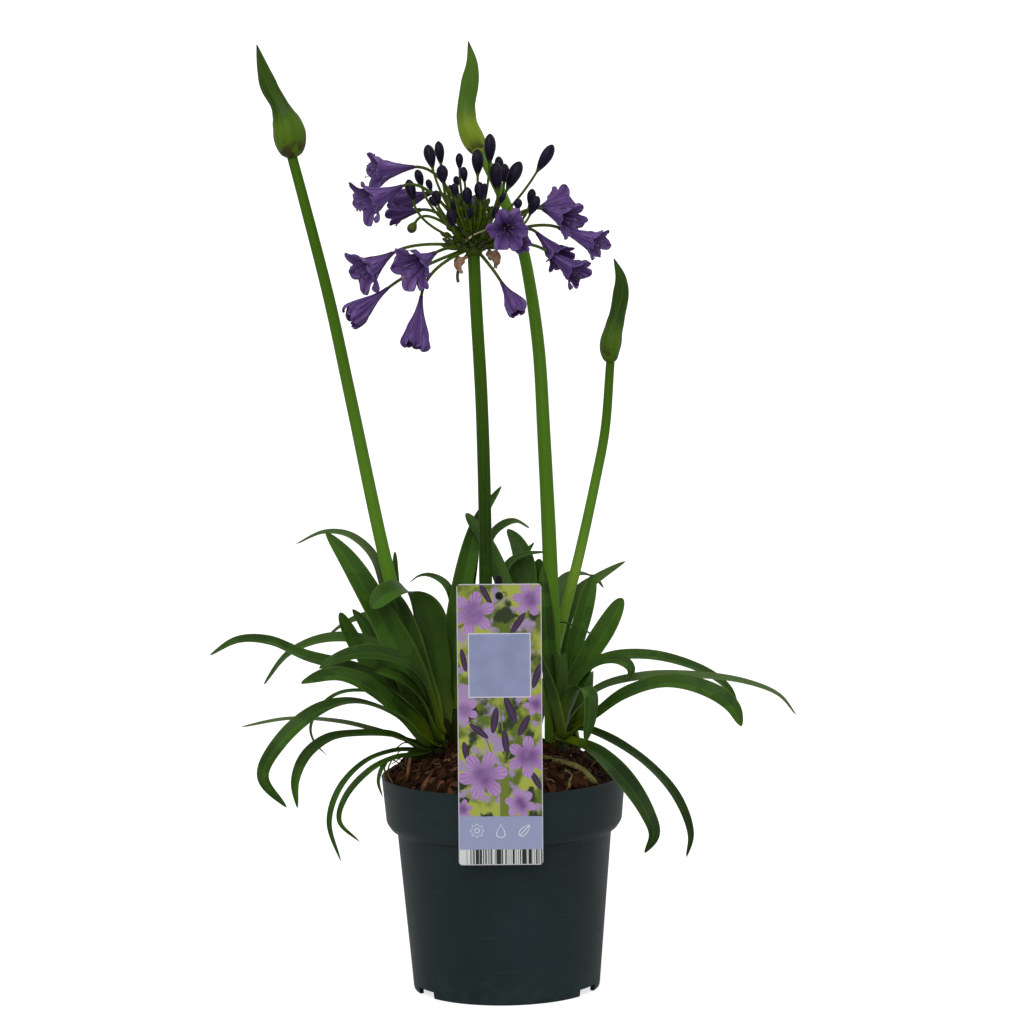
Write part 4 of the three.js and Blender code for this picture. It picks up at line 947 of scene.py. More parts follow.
# %% Stems
STEM_ROWS, STEM_SIDES = 110, 28
STEMS = {
    "stem_left": dict(radius=(5.8, 3.9), tone=(0.95, 0.85, 0.42), way=[
        (-52, 18, 150), (-54, 18, 185), (-71, 19, 259), (-89, 20, 334), (-113, 15, 460), (-128, 11, 538),
        (-146, 6, 616), (-154, 4, 648.9)]),
    "stem_flowering": dict(radius=(5.1, 4.8), tone=(0.0, 0.12, 0.44), way=[
        (-13, 23, 150), (-13, 22, 191), (-12, 19, 270), (-11, 14, 365), (-12, 4, 459), (-15, -6, 537),
        (-16, -10, 573)]),
    "stem_right_tall": dict(radius=(6.7, 4.2), tone=(0.8, 0.68, 0.9), way=[
        (39, 15, 150), (39, 16, 191), (40, 24, 268), (39, 30, 331), (36, 42, 424), (33, 56, 493),
        (27, 66, 543), (21, 72, 574), (8, 80, 609), (-8.5, 87, 645)]),
    "stem_right_short": dict(radius=(5.0, 3.4), tone=(1.2, 1.3, 0.35), way=[
        (21, 52, 150), (24, 52, 186), (36, 51, 233), (48, 50, 280), (61, 52, 327), (76, 57, 390),
        (84, 60, 429), (89, 64, 482)]),
}


def add_stem(skin, stem, seed):
    """Rings of radius foot to top, times 1 + 0.02 cos 2a + 0.012 cos 7a, with slow swellings."""
    s = np.linspace(0, 1, STEM_ROWS)
    path = smooth_path(stem["way"], s)
    a = circle(STEM_SIDES)[None]
    radius = mixed(*stem["radius"], s)[:, None] * (1 + 0.02 * np.cos(2 * a + 4 * s[:, None] + seed))
    radius = radius * (1 + 0.012 * np.cos(7 * a + seed) + 0.012 * bumps(path / 30, 1.0, seed)[:, None])
    rings, place = round_rings(path, radius, STEM_SIDES)
    tone = np.interp(s, (0.15, 0.5, 1), stem["tone"])[:, None]
    loft(skin, rings, place=place, measure=(a * radius, distances(path)[:, None], seed),
         kind=(0.0, tone, path[:, 2:]))


def stem_material(dark, middle, light):
    """Smooth flesh: greens by tone, from dark at 0 to light at 1 and yellowish above, fine lines lengthwise
    read round the rod from its cosine and sine, small paler flecks, and a satin skin."""
    made, tree = new_material("Stem flesh", IOR=1.42, Specular_IOR_Level=0.14)
    place, measure, kind = kept(tree)
    seed = place[1] * 0.11 + measure[2]
    line = fibres(place[0], 9.9, measure[1], 0.015, seed)
    cloud, fleck = mottle(tree, 35.0), mottle(tree, 420.0)
    green = coated(
        dark,
        (rise(kind[1], 0.0, 0.5), middle),
        (rise(kind[1], 0.5, 1.0), light),
        (rise(kind[1], 1.0, 1.5), "86a637"),
        (line * 0.14, light),
        (cloud * 0.12, middle),
        (rise(fleck, 0.8, 1.0) * 0.12, light),
    )
    return feed(made, green, cloud * 0.1 + 0.34, line * 1.5 + fleck, bump=0.25, depth=0.0002)


STEM_FLESH = stem_material("101f02", "3f6609", "5b8722")
for number, (name, stem) in enumerate(STEMS.items()):
    rod = Skin()
    add_stem(rod, stem, number * 1.7)
    rod.piece(name + "_rod", [STEM_FLESH], [name])
    print(name, "rings", len(rod.points[0]) // STEM_SIDES)

# %% [markdown]
# ## Closed bud sheaths
# Before a head opens, its buds sit in a sheath: a plump bulb with a long flat beak, made of two leaves
# grown together along a seam on either side. It is again a loft of round rings, with its radius read from
# a table, flattened along the beak, with a raised seam at both edges and low bulges where buds press from
# inside. The beak bends as its path does.

# %% Bud sheaths
SHEATHS = {
    "bud_sheath_left": dict(swell=11.9, beak=6.3, tone=0.12, turn=0.5, way=[
        (-154, 4, 648.4), (-155, 4, 660), (-157, 4, 672), (-163, 4, 689), (-170, 4, 702), (-175, 3, 718),
        (-179, 2, 735)]),
    "bud_sheath_tall": dict(swell=8.4, beak=6.6, tone=1.0, turn=-0.4, way=[
        (-8.5, 87, 644.4), (-15, 88, 656), (-19.8, 89, 669), (-20.6, 90, 682), (-17.8, 90, 699),
        (-15.6, 90, 716), (-18, 90, 733.5)]),
    "bud_sheath_short": dict(swell=7.8, beak=6.0, tone=0.02, turn=0.3, way=[
        (89.1, 64, 481.5), (89, 64, 492), (91, 65, 504), (95, 65, 519), (98, 66, 535), (98, 66, 548),
        (93, 67, 563)]),
}
SHEATH_FORM = np.array([
    (0, 0.34, 0), (0.035, 0.72, 0), (0.1, 0.93, 0), (0.19, 1, 0), (0.29, 0.9, 0), (0.38, 0.3, 0.7),
    (0.48, 0, 0.98), (0.66, 0, 1), (0.78, 0, 0.76), (0.9, 0, 0.42), (1, 0, 0.05),
])


def add_sheath(skin, sheath, seed):
    """Radius = bulb share * swell + beak share * beak; the side towards the viewer is flattened to 0.42
    along the beak; seams stand out by 7% of the radius at both edges."""
    s = np.linspace(0, 1, 90)
    form = smooth_path(SHEATH_FORM * (1, 0.5, 0.5), np.linspace(0, 1, 400)) * (1, 2, 2)
    bulb, beak = (np.interp(s, np.maximum.accumulate(form[:, 0]), form[:, i]) for i in (1, 2))
    radius = np.maximum(bulb * sheath["swell"] + beak * sheath["beak"], 0.15)[:, None]
    path = smooth_path(sheath["way"], s)
    a = circle(40)[None]
    plump = ease(s, 0.02, 0.12) * (1 - ease(s, 0.28, 0.42))
    spots = np.stack(np.broadcast_arrays(np.cos(a) * 2, np.sin(a) * 2, s[:, None] * 9), axis=-1)
    bulge = 0.035 * np.cos(5 * a + 6 * s[:, None] + seed) + 0.03 * bumps(spots, 1.0, seed)
    seam = 0.07 * np.abs(np.sin(a)) ** 24 * ease(s, 0.03, 0.2)[:, None]
    radius = radius * (1 + plump[:, None] * bulge + seam)
    flat = mixed(1, 0.42, ease(s, 0.25, 0.55))
    twist = sheath["turn"] * ease(s, 0.35, 1.0)
    _, side, other = directions(path, (0, 1, 0))
    c, d = np.cos(twist)[:, None], np.sin(twist)[:, None]
    side, other = side * c + other * d, other * c - side * d
    spokes = (flat[:, None] * np.cos(a))[..., None] * side[:, None] + np.sin(a)[..., None] * other[:, None]
    rings = path[:, None] + radius[..., None] * spokes
    loft(skin, rings, place=(np.cos(a), np.sin(a), s[:, None]),
         measure=(a * radius, distances(path)[:, None], seed),
         kind=(ease(s, 0.25, 0.45)[:, None], sheath["tone"], s[:, None]))


def sheath_material():
    """Yellow-green bulb, darker beak, pale lines along both, a dark seam and tip, and brown smudges at the
    foot of the bulb."""
    made, tree = new_material("Bud sheath", IOR=1.42, Specular_IOR_Level=0.18)
    place, measure, kind = kept(tree)
    seed = place[1] * 0.11 + measure[2]
    line = fibres(place[0], 9.0, measure[1], 0.03, seed)
    cloud, fine = mottle(tree, 90.0), mottle(tree, 260.0)
    beak = tint(kind[1], "223f0b", "486a1d")
    smudge = rise(place[2], 0.19, 0.06) * rise(line * 0.35 + mottle(tree, 130.0), 0.55, 0.85)
    green = coated(
        tint(kind[1], "446406", "7f9622"),
        (kind[0], beak),
        (line * 0.22, "728f2c"),
        (cloud * 0.2, beak),
        (rise(abs(place[1]), 0.965, 0.99) * 0.45, "33301a"),
        (rise(place[2], 0.93, 0.985) * 0.8, "221a18"),
        (smudge * 0.85, "3a2a1c"),
    )
    return feed(made, green, cloud * 0.1 + 0.34, line * 1.5 + fine, bump=0.25, depth=0.0003)


SHEATH_GREEN = sheath_material()
for number, (name, sheath) in enumerate(SHEATHS.items()):
    closed = Skin()
    add_sheath(closed, sheath, number * 2.3 + 0.4)
    closed.piece(name + "_valves", [SHEATH_GREEN], [name])
print("sheaths", len(SHEATHS))

# %% [markdown]
# ## Flower head
# All the flower stalks spring from one knob at the top of the stem. Each leaves it, bends over and ends
# in a bud or a flower. A stalk is a loft along a simple curve with three control points, and where it
# carries a bud the same loft swells into a long egg with three shallow grooves, so no joint shows. Young
# green buds fill the middle. The table has the foot and tip of each large bud, and its width.

# %% Bud table
HUB = np.array([-16.0, -10.0, 579.0])
BUDS = [
    ((-46, -8, 638), (-50, -8, 657), 8.2), ((-40, 6, 640), (-42, 8, 659), 6.7),
    ((-38, -22, 627), (-39, -23, 642), 8.2), ((-55, 16, 623), (-59, 18, 637), 6.3),
    ((-61, -14, 613), (-65, -14, 631), 7.4), ((-48, 24, 620), (-51, 26, 629), 4.8),
    ((-42, -28, 611), (-44, -30, 623), 6.7), ((-26, 20, 636), (-26, 22, 649), 5.5),
    ((-22, 8, 626), (-23, 10, 639), 5.6), ((-28, 30, 622), (-29, 32, 631), 4.7),
    ((-29, -26, 617), (-30, -27, 628), 5.6), ((-12, -8, 632), (-12, -8, 653), 8.5),
    ((-3, 6, 640), (-2, 8, 664), 8.5), ((5, 20, 632), (4, 22, 646), 6.4),
    ((3, -20, 621), (2, -22, 643), 9.6), ((8, 4, 625), (9, 5, 641), 6.5),
    ((10, -12, 621), (21, -12, 643), 9.3), ((33, 0, 634), (46, 1, 655), 8.2),
    ((27, 12, 608), (30, 14, 621), 6.2), ((27, -20, 602), (34, -21, 617), 7.1),
    ((18, -34, 607), (19, -36, 616), 5.9), ((-20, -24, 610), (-20, -26, 625), 7.1),
    ((-10, -26, 613), (-11, -28, 629), 7.4), ((-31, -30, 594), (-33, -34, 609), 7.4),
]
BUD_FORM = np.array([(0, 0), (0.1, 0.34), (0.2, 0.55), (0.32, 0.75), (0.46, 0.92), (0.6, 1.0), (0.74, 0.94),
                     (0.86, 0.76), (0.94, 0.5), (0.985, 0.25), (1.0, 0.04)])
SEED_CAPSULE, CUT_STALK = ((-60, -2, 598), (-65, -5, 590), 7.6), (-28, -17, 552)
print("large buds", len(BUDS))

# %% Stalks and buds
def stalk_path(end, heading, rows):
    """(1 - t)^2 start + 2t(1 - t) aim + t^2 end: start is just off the knob, and aim lies behind the end,
    so that the stalk arrives along the heading."""
    out = end - HUB
    start, aim = HUB + 0.04 * out, end - heading * np.linalg.norm(out) * 0.35
    t = np.linspace(0, 1, rows)[:, None]
    return (1 - t) ** 2 * start + 2 * t * (1 - t) * aim + t**2 * end


def add_stalk(skin, end, heading, radius, seed, bud=None, sides=12, ripe=1.0):
    """A stalk, and the bud (length, width) that it ends in: radius of the bud's form times half its
    width, times 1 + 0.05 cos 3a for the grooves. Ripe is 1 for a dark bud and 0 for a green one."""
    end, heading = np.array(end, float), unit(np.array(heading, float))
    path = stalk_path(end, heading, 16)
    radii = np.full(16, radius) * np.interp(np.linspace(0, 1, 16), [0, 0.2, 1], [1.15, 1.0, 0.92])
    swell = np.zeros(16)
    if bud:
        length, width = bud
        path = np.vstack([path, end + heading * length * BUD_FORM[1:, :1]])
        radii = np.concatenate([radii, np.maximum(BUD_FORM[1:, 1] * width / 2, 0.05)])
        radii[16:18] = np.maximum(radii[16:18], radius)
        swell = np.concatenate([swell, BUD_FORM[1:, 0]])
    bend = np.cross(heading, end - HUB)
    reference = unit(bend) if np.linalg.norm(bend) > 1e-3 * np.linalg.norm(end - HUB) else (0.31, 0.77, 0.55)
    a = circle(sides)[None]
    groove = 1 + 0.05 * (swell > 0)[:, None] * np.cos(3 * a)
    rings, place = round_rings(path, radii[:, None] * groove, sides, reference)
    loft(skin, rings, place=place, measure=(a, distances(path)[:, None], seed),
         kind=(swell[:, None], ripe, np.cos(3 * a)))


def add_knob(skin):
    """The knob: rings of radius 7.6 (1 - t^2)^0.5 for t from -1 to 1, a nearly round ball with low bumps."""
    t = np.linspace(-1, 1, 26)
    path = HUB + np.stack([0 * t, 0 * t, 7.0 * t - 1.0], axis=1)
    rings, place = round_rings(path, np.maximum(7.6 * np.sqrt(1 - t**2), 0.05), 32, (1, 0, 0))
    rings = rings + 0.5 * bumps(rings, 3.0, 5)[..., None] * unit(rings - HUB)
    loft(skin, rings, place=place, kind=(0.0, 0.4, 0.0))


# %% [markdown]
# ### Flowers
# A flower is a trumpet of six petals joined in a tube near the stalk. Three lie inside and three outside,
# so their edges overlap, and the tips turn outwards. Each petal is a thin closed skin: its middle line
# follows the side of the trumpet, and its half width is what it takes to close the tube, up to where the
# rounded lobe begins. From each tube come six stamens with dark tips and one thinner style. In the table
# are the place where the stalk ends, the middle of the mouth, half the mouth's width and the length, and
# the tones are the lowest and highest that a flower's petals may draw.

# %% Flower table
FLOWERS = {
    "flower_01": ((-61, -6, 640), (-96, -16, 637), 15.5, 42),
    "flower_02": ((-70, -20, 626), (-108, -40, 609), 18, 45),
    "flower_03": ((-49, 32, 618), (-81, 54, 608), 13, 38),
    "flower_04": ((-57, 16, 606), (-79, 28, 602), 9, 30),
    "flower_05": ((-78, -18, 575), (-103, -36, 560), 17, 42),
    "flower_06": ((-45, -38, 576), (-67, -62, 564), 18.4, 40),
    "flower_07": ((-82, -30, 549), (-111, -42, 527), 9.2, 44),
    "flower_08": ((-56, -46, 544), (-62, -50, 504), 10, 46),
    "flower_09": ((9, -46, 595), (11, -80, 594), 15.4, 34),
    "flower_10": ((16, -34, 582), (20, -50, 583), 7.5, 22),
    "flower_11": ((38, -6, 606), (62, -30, 596.5), 13.4, 41),
    "flower_12": ((50, -14, 592), (87, -35, 577), 12.6, 46),
    "flower_13": ((40, -26, 575), (69, -46, 554), 13, 42),
    "flower_14": ((33, -10, 588), (49, -26, 571), 12.6, 38),
    "flower_15": ((5, -28, 552), (18, -36, 530), 8.5, 31),
    "flower_16": ((35, 22, 606), (52, 46, 608), 13, 36),
    "flower_17": ((-14, 34, 600), (-20, 64, 602), 13, 36),
    "flower_18": ((7, 30, 588), (12, 62, 590), 13, 36),
}
FADED = ("flower_07", "flower_08", "flower_15")
USUAL_TONES, TONES = (0.35, 1.2), dict.fromkeys(FADED, (0.35, 0.7))
# Faded flowers keep a narrower range of their own. The ranges below are painted light and shade: darker for
# flowers that sit in shadow, darkest for 3, 4 and 14, and lighter for 12, which catches the light.
TONES.update(flower_03=(-0.6, 0.3), flower_04=(-0.6, 0.3), flower_11=(0.2, 1.1), flower_12=(0.6, 1.2),
             flower_13=(-0.1, 0.8), flower_14=(-0.5, 0.25))
PETAL_S = 1 - (1 - np.linspace(0, 1, 34)) ** 1.6
FADED_FORM = np.array([(0, 0), (0.12, 0.06), (0.3, 0.28), (0.5, 0.62), (0.68, 0.92), (0.78, 1.0),
                       (0.88, 0.95), (0.95, 0.82), (1.0, 0.66)])
print("flowers", len(FLOWERS))

# %% Petals and stamens
def axes_of(start, end):
    """A flower's axis, and two directions at right angles to it and to each other."""
    axis = unit(np.subtract(end, start).astype(float))
    side = unit(np.cross((0, 0, 1) if abs(axis[2]) < 0.9 else (1, 0, 0), axis))
    return axis, side, np.cross(axis, side)


def add_petals(skin, start, end, mouth, long, faded, tones, draw):
    """Six petals. At share s the trumpet is 1.6 + (mouth - 1.6) s^1.3 from the axis, and up to 0.08
    mouth more at the tips, which turn out, and it is long (s - 0.18 s^5 mouth / 15) along the axis. A
    petal spans 36 degrees to each side in the tube, and its lobe is wide (0.84 + 0.16 sin pi t^0.7)
    (1 - t^6)^0.5, t from the tube to the tip, with a ruffled end. A faded flower is a club, widest at
    0.78."""
    axis, side, other = axes_of(start, end)
    s, u, outer = PETAL_S[:, None], CROSS[None], np.maximum(FACE_UP, 0)[None]
    seed = draw.random()
    tube = 0.75 if faded else 0.36
    for k in range(6):
        inner = k % 2
        reach = long * (0.96 if inner else 1.0) * draw.uniform(0.97, 1.02)
        flare = mouth * draw.uniform(0.9, 1.06)
        frayed = draw.uniform(0.75, 1.25)
        out = 1.6 + (flare - 1.6) * s**1.3 + 0.08 * mouth * ease(s, 0.72, 1)
        if faded:
            club = np.interp(s, *FADED_FORM.T) * mixed(1, frayed, ease(s, 0.6, 1))
            out = 1.4 + (mouth - 1.4) * club
        out = out - 0.4 * inner
        forward = reach * (s - 0.18 * s**5 * mouth / 15) - 0.4
        ruffle = draw.random() * 6.3
        forward = forward + (0.13 if faded else 0.07) * mouth * np.sin(5 * u + ruffle) * ease(s, 0.7, 1)
        wide = 0.62 * mouth if faded else 0.43 * mouth + 0.9
        t = np.clip((s - tube) / (1 - tube), 0, 1)
        lobe = wide * (0.84 + 0.16 * np.sin(np.pi * t**0.7)) * (1 - t**6) ** 0.5 + 0.12
        spread = np.minimum(np.radians(36), lobe / np.maximum(out, 1.5))
        wave = 0.1 * mouth * u**2 * ease(s, 0.35, 0.8)
        wave = wave * np.sin(2 * np.pi * (2.6 * s + draw.random()) + 1.6 * u)
        keel = 0.3 * np.exp(-((u / 0.16) ** 2)) * (1 - s)
        keel = keel + 0.5 * np.sin(np.pi * s) * (u**2 - 0.4) * (0.5 + inner)
        if faded:
            wave = wave + 0.09 * mouth * np.cos(5 * u + ruffle) * ease(s, 0.2, 0.6)
        thick = 0.4 * (1 - u**4) * (1 - outer)
        radial = out + wave + keel * 0.6 - thick
        angle = k * np.pi / 3 + spread * u + 0.06 * np.sin(3 * s + k) * ease(s, 0.4, 1)
        around = np.cos(angle)[..., None] * side + np.sin(angle)[..., None] * other
        rings = np.array(start, float) + forward[..., None] * axis + radial[..., None] * around
        loft(skin, rings, place=(u, s, seed), measure=(u * 4, s * reach, k),
             kind=(outer, draw.uniform(*tones), ease(s, 0, 0.5)))


def add_stamens(skin, start, end, mouth, long, draw):
    """Six threads and a style: each leaves the bottom of the tube and bends up towards the mouth, and
    each thread ends in a small dark egg lying across it."""
    axis, side, other = axes_of(start, end)
    start, t = np.array(start, float), np.linspace(0, 1, 9)[:, None]
    for k in range(7):
        a, reach = k * np.pi / 3 + 0.5, long * draw.uniform(0.62, 0.8)
        out = mouth * draw.uniform(0.16, 0.3)
        sideways = np.cos(a) * side + np.sin(a) * other
        path = start + axis * (0.2 * long + reach * t * 0.9) + sideways * (0.5 + out * t**1.5)
        rings, place = round_rings(path, 0.32 if k < 6 else 0.25, 6, (0.2, 0.5, 0.84))
        loft(skin, rings, 1, place=place, kind=(0.0, 0.0, t))
        if k == 6:
            continue
        lying = unit(np.cross(axis, sideways) + 0.4 * axis)
        bar = path[-1] + np.linspace(-1, 1, 7)[:, None] * 1.3 * lying
        rings, place = round_rings(bar, np.array([0.1, 0.5, 0.65, 0.7, 0.65, 0.5, 0.1]), 8, axis)
        loft(skin, rings, 1, place=place, kind=(1.0, 0.0, 0.0))


# %% [markdown]
# ### Petal, stalk and stamen finishes
# Petals are violet, deeper along the middle vein and down in the tube, partly as painted shade there,
# and soft like fine cloth, with faint veins on either side of the middle. Their paler sides are a painted
# highlight, and a dark rim paints shade between the lobes. The stalks are olive green and turn dark
# violet where they pass into a bud, and ripe buds have a painted highlight along their ridges. Young
# buds stay green with violet tips. The stamens are pale violet with maroon tips.

# %% Petal, stalk and stamen materials
def petal_material():
    """Violet by the tone of each petal, pinker at the tips and paler towards the sides as a painted
    highlight, with side veins, a dark rim as painted shade between the lobes, a dark middle line, and a
    deeper tube, partly painted shade."""
    made, tree = new_material("Violet petal", Sheen_Weight=0.1, Sheen_Roughness=0.4, IOR=1.4,
                              Specular_IOR_Level=0.2, Sheen_Tint=paint("b39ad6"))
    place, measure, kind = kept(tree)
    vein = fibres(measure[0], 2.6, measure[1], 0.05, measure[2] * 0.13 + place[2])
    cloud, off = mottle(tree, 160.0), abs(place[0])
    middle = rise(off, 0.26, 0.02)
    violet = coated(
        tint(kind[1], "442b62", "8364ae"),
        (rise(kind[1] * place[1], 0.6, 1.1) * 0.6, "9066a0"),
        # painted highlight: paler towards the sides of each petal
        (rise(off, 0.4, 0.8) * 0.45, "9a80bd"),
        (vein * 0.55, "432960"),
        (cloud * 0.35, "54386f"),
        # painted shade: a dark rim between the lobes
        (rise(off, 0.9, 1.0) * 0.6, "452c5c"),
        (middle * 0.5, "351b4d"),
        # deeper tube: partly its own colour, partly painted shade down inside the trumpet
        (rise(place[1], 0.38, 0.0) * 0.7, "2d1b3f"),
    )
    return feed(made, violet, cloud * 0.1 + 0.52, vein - middle, bump=0.35, depth=0.0003)


def stalk_material():
    """Olive stalk to dark violet bud; how far up the bud a point is, and how ripe the bud, set which. Ripe
    buds are lighter along their ridges, a painted highlight.
    """
    made, tree = new_material("Stalks and buds", IOR=1.42, Specular_IOR_Level=0.22)
    place, measure, kind = kept(tree)
    line = fibres(place[0], 3.0, measure[1], 0.12, measure[2])
    cloud = mottle(tree, 200.0)
    stalk = coated(tint(line, "4b6110", "35460b"), (cloud * 0.4, "61741a"),
                   (rise(place[2], 0.45, 0.95) * 0.35, "33292e"))
    # painted highlight: the ridges between the grooves of a ripe bud are lighter
    ripe = coated(tint(line, "0d0716", "1b1230"), (rise(kind[2], 0.3, 1.0) * 0.5, "251e31"))
    young = tint(rise(kind[0], 0.55, 1.1), "56690f", "2f203c")
    colour = tint(rise(kind[0], 0.02, 0.22), stalk, tint(kind[1], young, ripe))
    return feed(made, colour, cloud * 0.12 + 0.38, line, bump=0.3, depth=0.0002)


def stamen_material():
    """Pale violet thread, maroon tip."""
    made, tree = new_material("Stamens", IOR=1.4)
    kind, cloud = kept(tree)[2], mottle(tree, 600.0)
    thread = coated(tint(kind[2], "4b2f6a", "8a6fb0"), (cloud * 0.3, "5d3f80"))
    colour = tint(kind[0], thread, tint(cloud, "2b1420", "57303a"))
    return feed(made, colour, cloud * 0.2 + 0.5, cloud, bump=0.3, depth=0.0002)


PETAL, STALK_GREEN, STAMEN = petal_material(), stalk_material(), stamen_material()
print("materials", [m.name for m in (PETAL, STALK_GREEN, STAMEN)])

# %% [markdown]
# ### Papery parts
# Under the head hang the dry remains of its own opened sheath, like thin crumpled paper. They use the
# same strap surface as the leaves, with strong random bumps. The finish is a warm light brown with fine
# lines. A paler strip of it lies across the foot of the head.

# %% Dry paper
BRACTS = {
    "dry_bract_left": ([(-22, -19, 572), (-26, -21, 570), (-28, -22, 565), (-25, -21, 559)], 9, (20, -40)),
    "dry_bract_right": ([(-6, -13, 575), (-2, -14, 573), (1, -14, 568), (0, -13, 562)], 9, (-20, 40)),
}
PAPER_STRIP = [(-22, -13, 581), (-21, -20, 585), (-14, -24, 589), (-7, -23, 592)]


def paper_material():
    """Light brown paper, cloudy and finely lined, and straw-coloured at tone 1."""
    made, tree = new_material("Dry paper", Specular_IOR_Level=0.15)
    _, measure, kind = kept(tree)
    line, cloud = fibres(measure[0], 1.8, measure[1], 0.08), mottle(tree, 260.0)
    tan = coated(tint(cloud, "8e6a50", "cdae90"), (line * 0.5, "6b4a36"), (rise(kind[1], 0.5, 1.0), "cfc39a"))
    return feed(made, tan, cloud * 0.15 + 0.7, line, bump=0.5, depth=0.0004)


def add_paper(skin, way, width, rolls, seed, slot=0, tone=0.5):
    """A short strap, widest in the middle, whose width and roll are crumpled by bumps."""
    s = np.linspace(0, 1, 30)
    path = smooth_path(way, s)
    path = path + 0.35 * np.stack([bumps(path + 9 * i, 2.5, seed) for i in range(3)], axis=1)
    half = width / 2 * mixed(0.35, 1, np.sin(np.pi * np.minimum(s + 0.15, 1)))
    half = half * (1 + 0.2 * bumps(path, 2.0, seed))
    roll = np.interp(s, (0, 1), rolls) + 14 * bumps(path, 3.0, seed + 3)
    strap(skin, path, (1.0, 0.0, 0.0), roll, half, np.full(30, 0.3), np.full(30, 0.5), 0.3, tone, slot)


PAPER = paper_material()
for number, (name, (way, width, rolls)) in enumerate(BRACTS.items()):
    scrap = Skin()
    add_paper(scrap, way, width, rolls, number + 2.0)
    scrap.piece(name + "_paper", [PAPER], [name])
print("bracts", len(BRACTS))

# %% Flower head and flowers
def headings(draw, count, low, high):
    """Directions from the knob that fill a cone upwards: turns by the golden angle, tilts from low to high
    degrees."""
    k = np.arange(count)
    tilt, turn = np.radians(mixed(low, high, np.sqrt((k + 0.5) / count))), k * 2.39996 + draw.random()
    return np.stack([np.sin(tilt) * np.cos(turn), np.sin(tilt) * np.sin(turn), np.cos(tilt)], axis=1)


draw = np.random.default_rng(11)
head = Skin()
add_knob(head)
for foot, tip, width in BUDS:
    heading = np.subtract(tip, foot).astype(float)
    add_stalk(head, foot, heading, 1.05, draw.random(), (np.linalg.norm(heading), 1.12 * width))
for heading in headings(draw, 12, 4, 48):
    reach = draw.uniform(26, 44)
    add_stalk(head, HUB + heading * reach, heading + (0, 0, 0.5), 0.85, draw.random(),
              (draw.uniform(9, 13), draw.uniform(4.2, 5.6)), 10)
for tilts, count, reaches in (((3, 34), 110, (14, 36)), ((34, 98), 85, (11, 22))):
    for heading in headings(draw, count, *tilts):
        reach = draw.uniform(*reaches)
        add_stalk(head, HUB + heading * reach, heading + (0, 0, 0.3), 0.75, draw.random(),
                  (draw.uniform(5, 9), draw.uniform(2.4, 3.6)), 8, draw.uniform(0.0, 0.5))
for start, end, _, _ in FLOWERS.values():
    add_stalk(head, start, np.subtract(end, start), 1.3, draw.random())
foot, tip, width = SEED_CAPSULE
add_stalk(head, foot, np.subtract(tip, foot), 1.2, 0.5, (10.0, width), 12, 0.15)
add_stalk(head, CUT_STALK, (0.35, 0.1, -0.93), 1.3, 0.7)
add_paper(head, PAPER_STRIP, 4.5, (70, 70), 8.0, 1, 1.0)
head.piece("flower_head_stalks_and_buds", [STALK_GREEN, PAPER], ["flower_head"])
print("head points", head.count)

for name, (start, end, mouth, long) in FLOWERS.items():
    bloom = Skin()
    add_petals(bloom, start, end, mouth, long, name in FADED, TONES.get(name, USUAL_TONES), draw)
    if name not in FADED:
        add_stamens(bloom, start, end, mouth, long, draw)
    bloom.piece(name + "_petals", [PETAL, STAMEN], [name])
print("petals in all", 6 * len(FLOWERS))

# %% [markdown]
# ## Roots
# One pale thick root and one thin rootlet lie bare on the bark. Agapanthus roots are fleshy, wrinkled
# across and a little knotty, so the radius swells and shrinks along the loft, and the finish has rings.

# %% Roots
ROOTS = {
    "surface_root": (2.35, [
        (24, -37, 188), (33, -39, 186.5), (40, -41, 184.5), (50, -42.5, 182.2), (58, -45, 179.3),
        (64, -49, 175), (68, -54, 171), (71.5, -55, 169)]),
    "surface_rootlet": (1.2, [(44, -48, 179.5), (51.5, -57, 176.3), (50.5, -67, 172.6), (50, -73, 168.8)]),
}


def root_material():
    """Pale olive to cream, cloudy, with fine rings across the root and soil-brown stains."""
    made, tree = new_material("Fleshy root", Specular_IOR_Level=0.2)
    place, measure, _ = kept(tree)
    ring, cloud = fibres(measure[1], 1.3, place[0], 0.8), mottle(tree, 120.0)
    stain = rise(mottle(tree, 420.0), 0.55, 0.9)
    pale = coated(tint(cloud, "504f1c", "86804a"), (ring * 0.35, "45421a"), (stain * 0.6, "3d2c18"))
    return feed(made, pale, cloud * 0.15 + 0.6, ring, bump=0.5, depth=0.0004)


ROOT_SKIN = root_material()
for number, (name, (radius, way)) in enumerate(ROOTS.items()):
    s = np.linspace(0, 1, 60)
    path = smooth_path(way, s)
    knots = 1 + 0.1 * bumps(path, 4.0, 3 + number) + 0.04 * bumps(path, 1.5, 4)
    size = radius * mixed(0.78, 1.15, s) * knots
    size = size * np.minimum(1, np.sqrt(np.maximum(1 - ((s - 0.5) * 2) ** 20, 0.02)))
    rings, place = round_rings(path, size, 20)
    root = Skin()
    loft(root, rings, place=place, measure=(0.0, distances(path)[:, None], 0.0))
    root.piece(name + "_skin", [ROOT_SKIN], [name])
    print(name, "length", round(float(distances(path)[-1]), 1), "mm")

# %% [markdown]
# ## Care label
# The label is a thin printed card that hangs on a black plastic peg. The card's solid is already right, so
# it only gets a print. Its art is drawn with sums inside the shader, so it stays sharp at any size: the
# place on the card is first turned into millimetres across and up from the middle of its top edge, and
# each motif is a mask over those two numbers. Three motifs are enough: a block with straight sides, an
# oval, and a blossom whose edge swings in and out as the angle goes round. Each is a shared group.

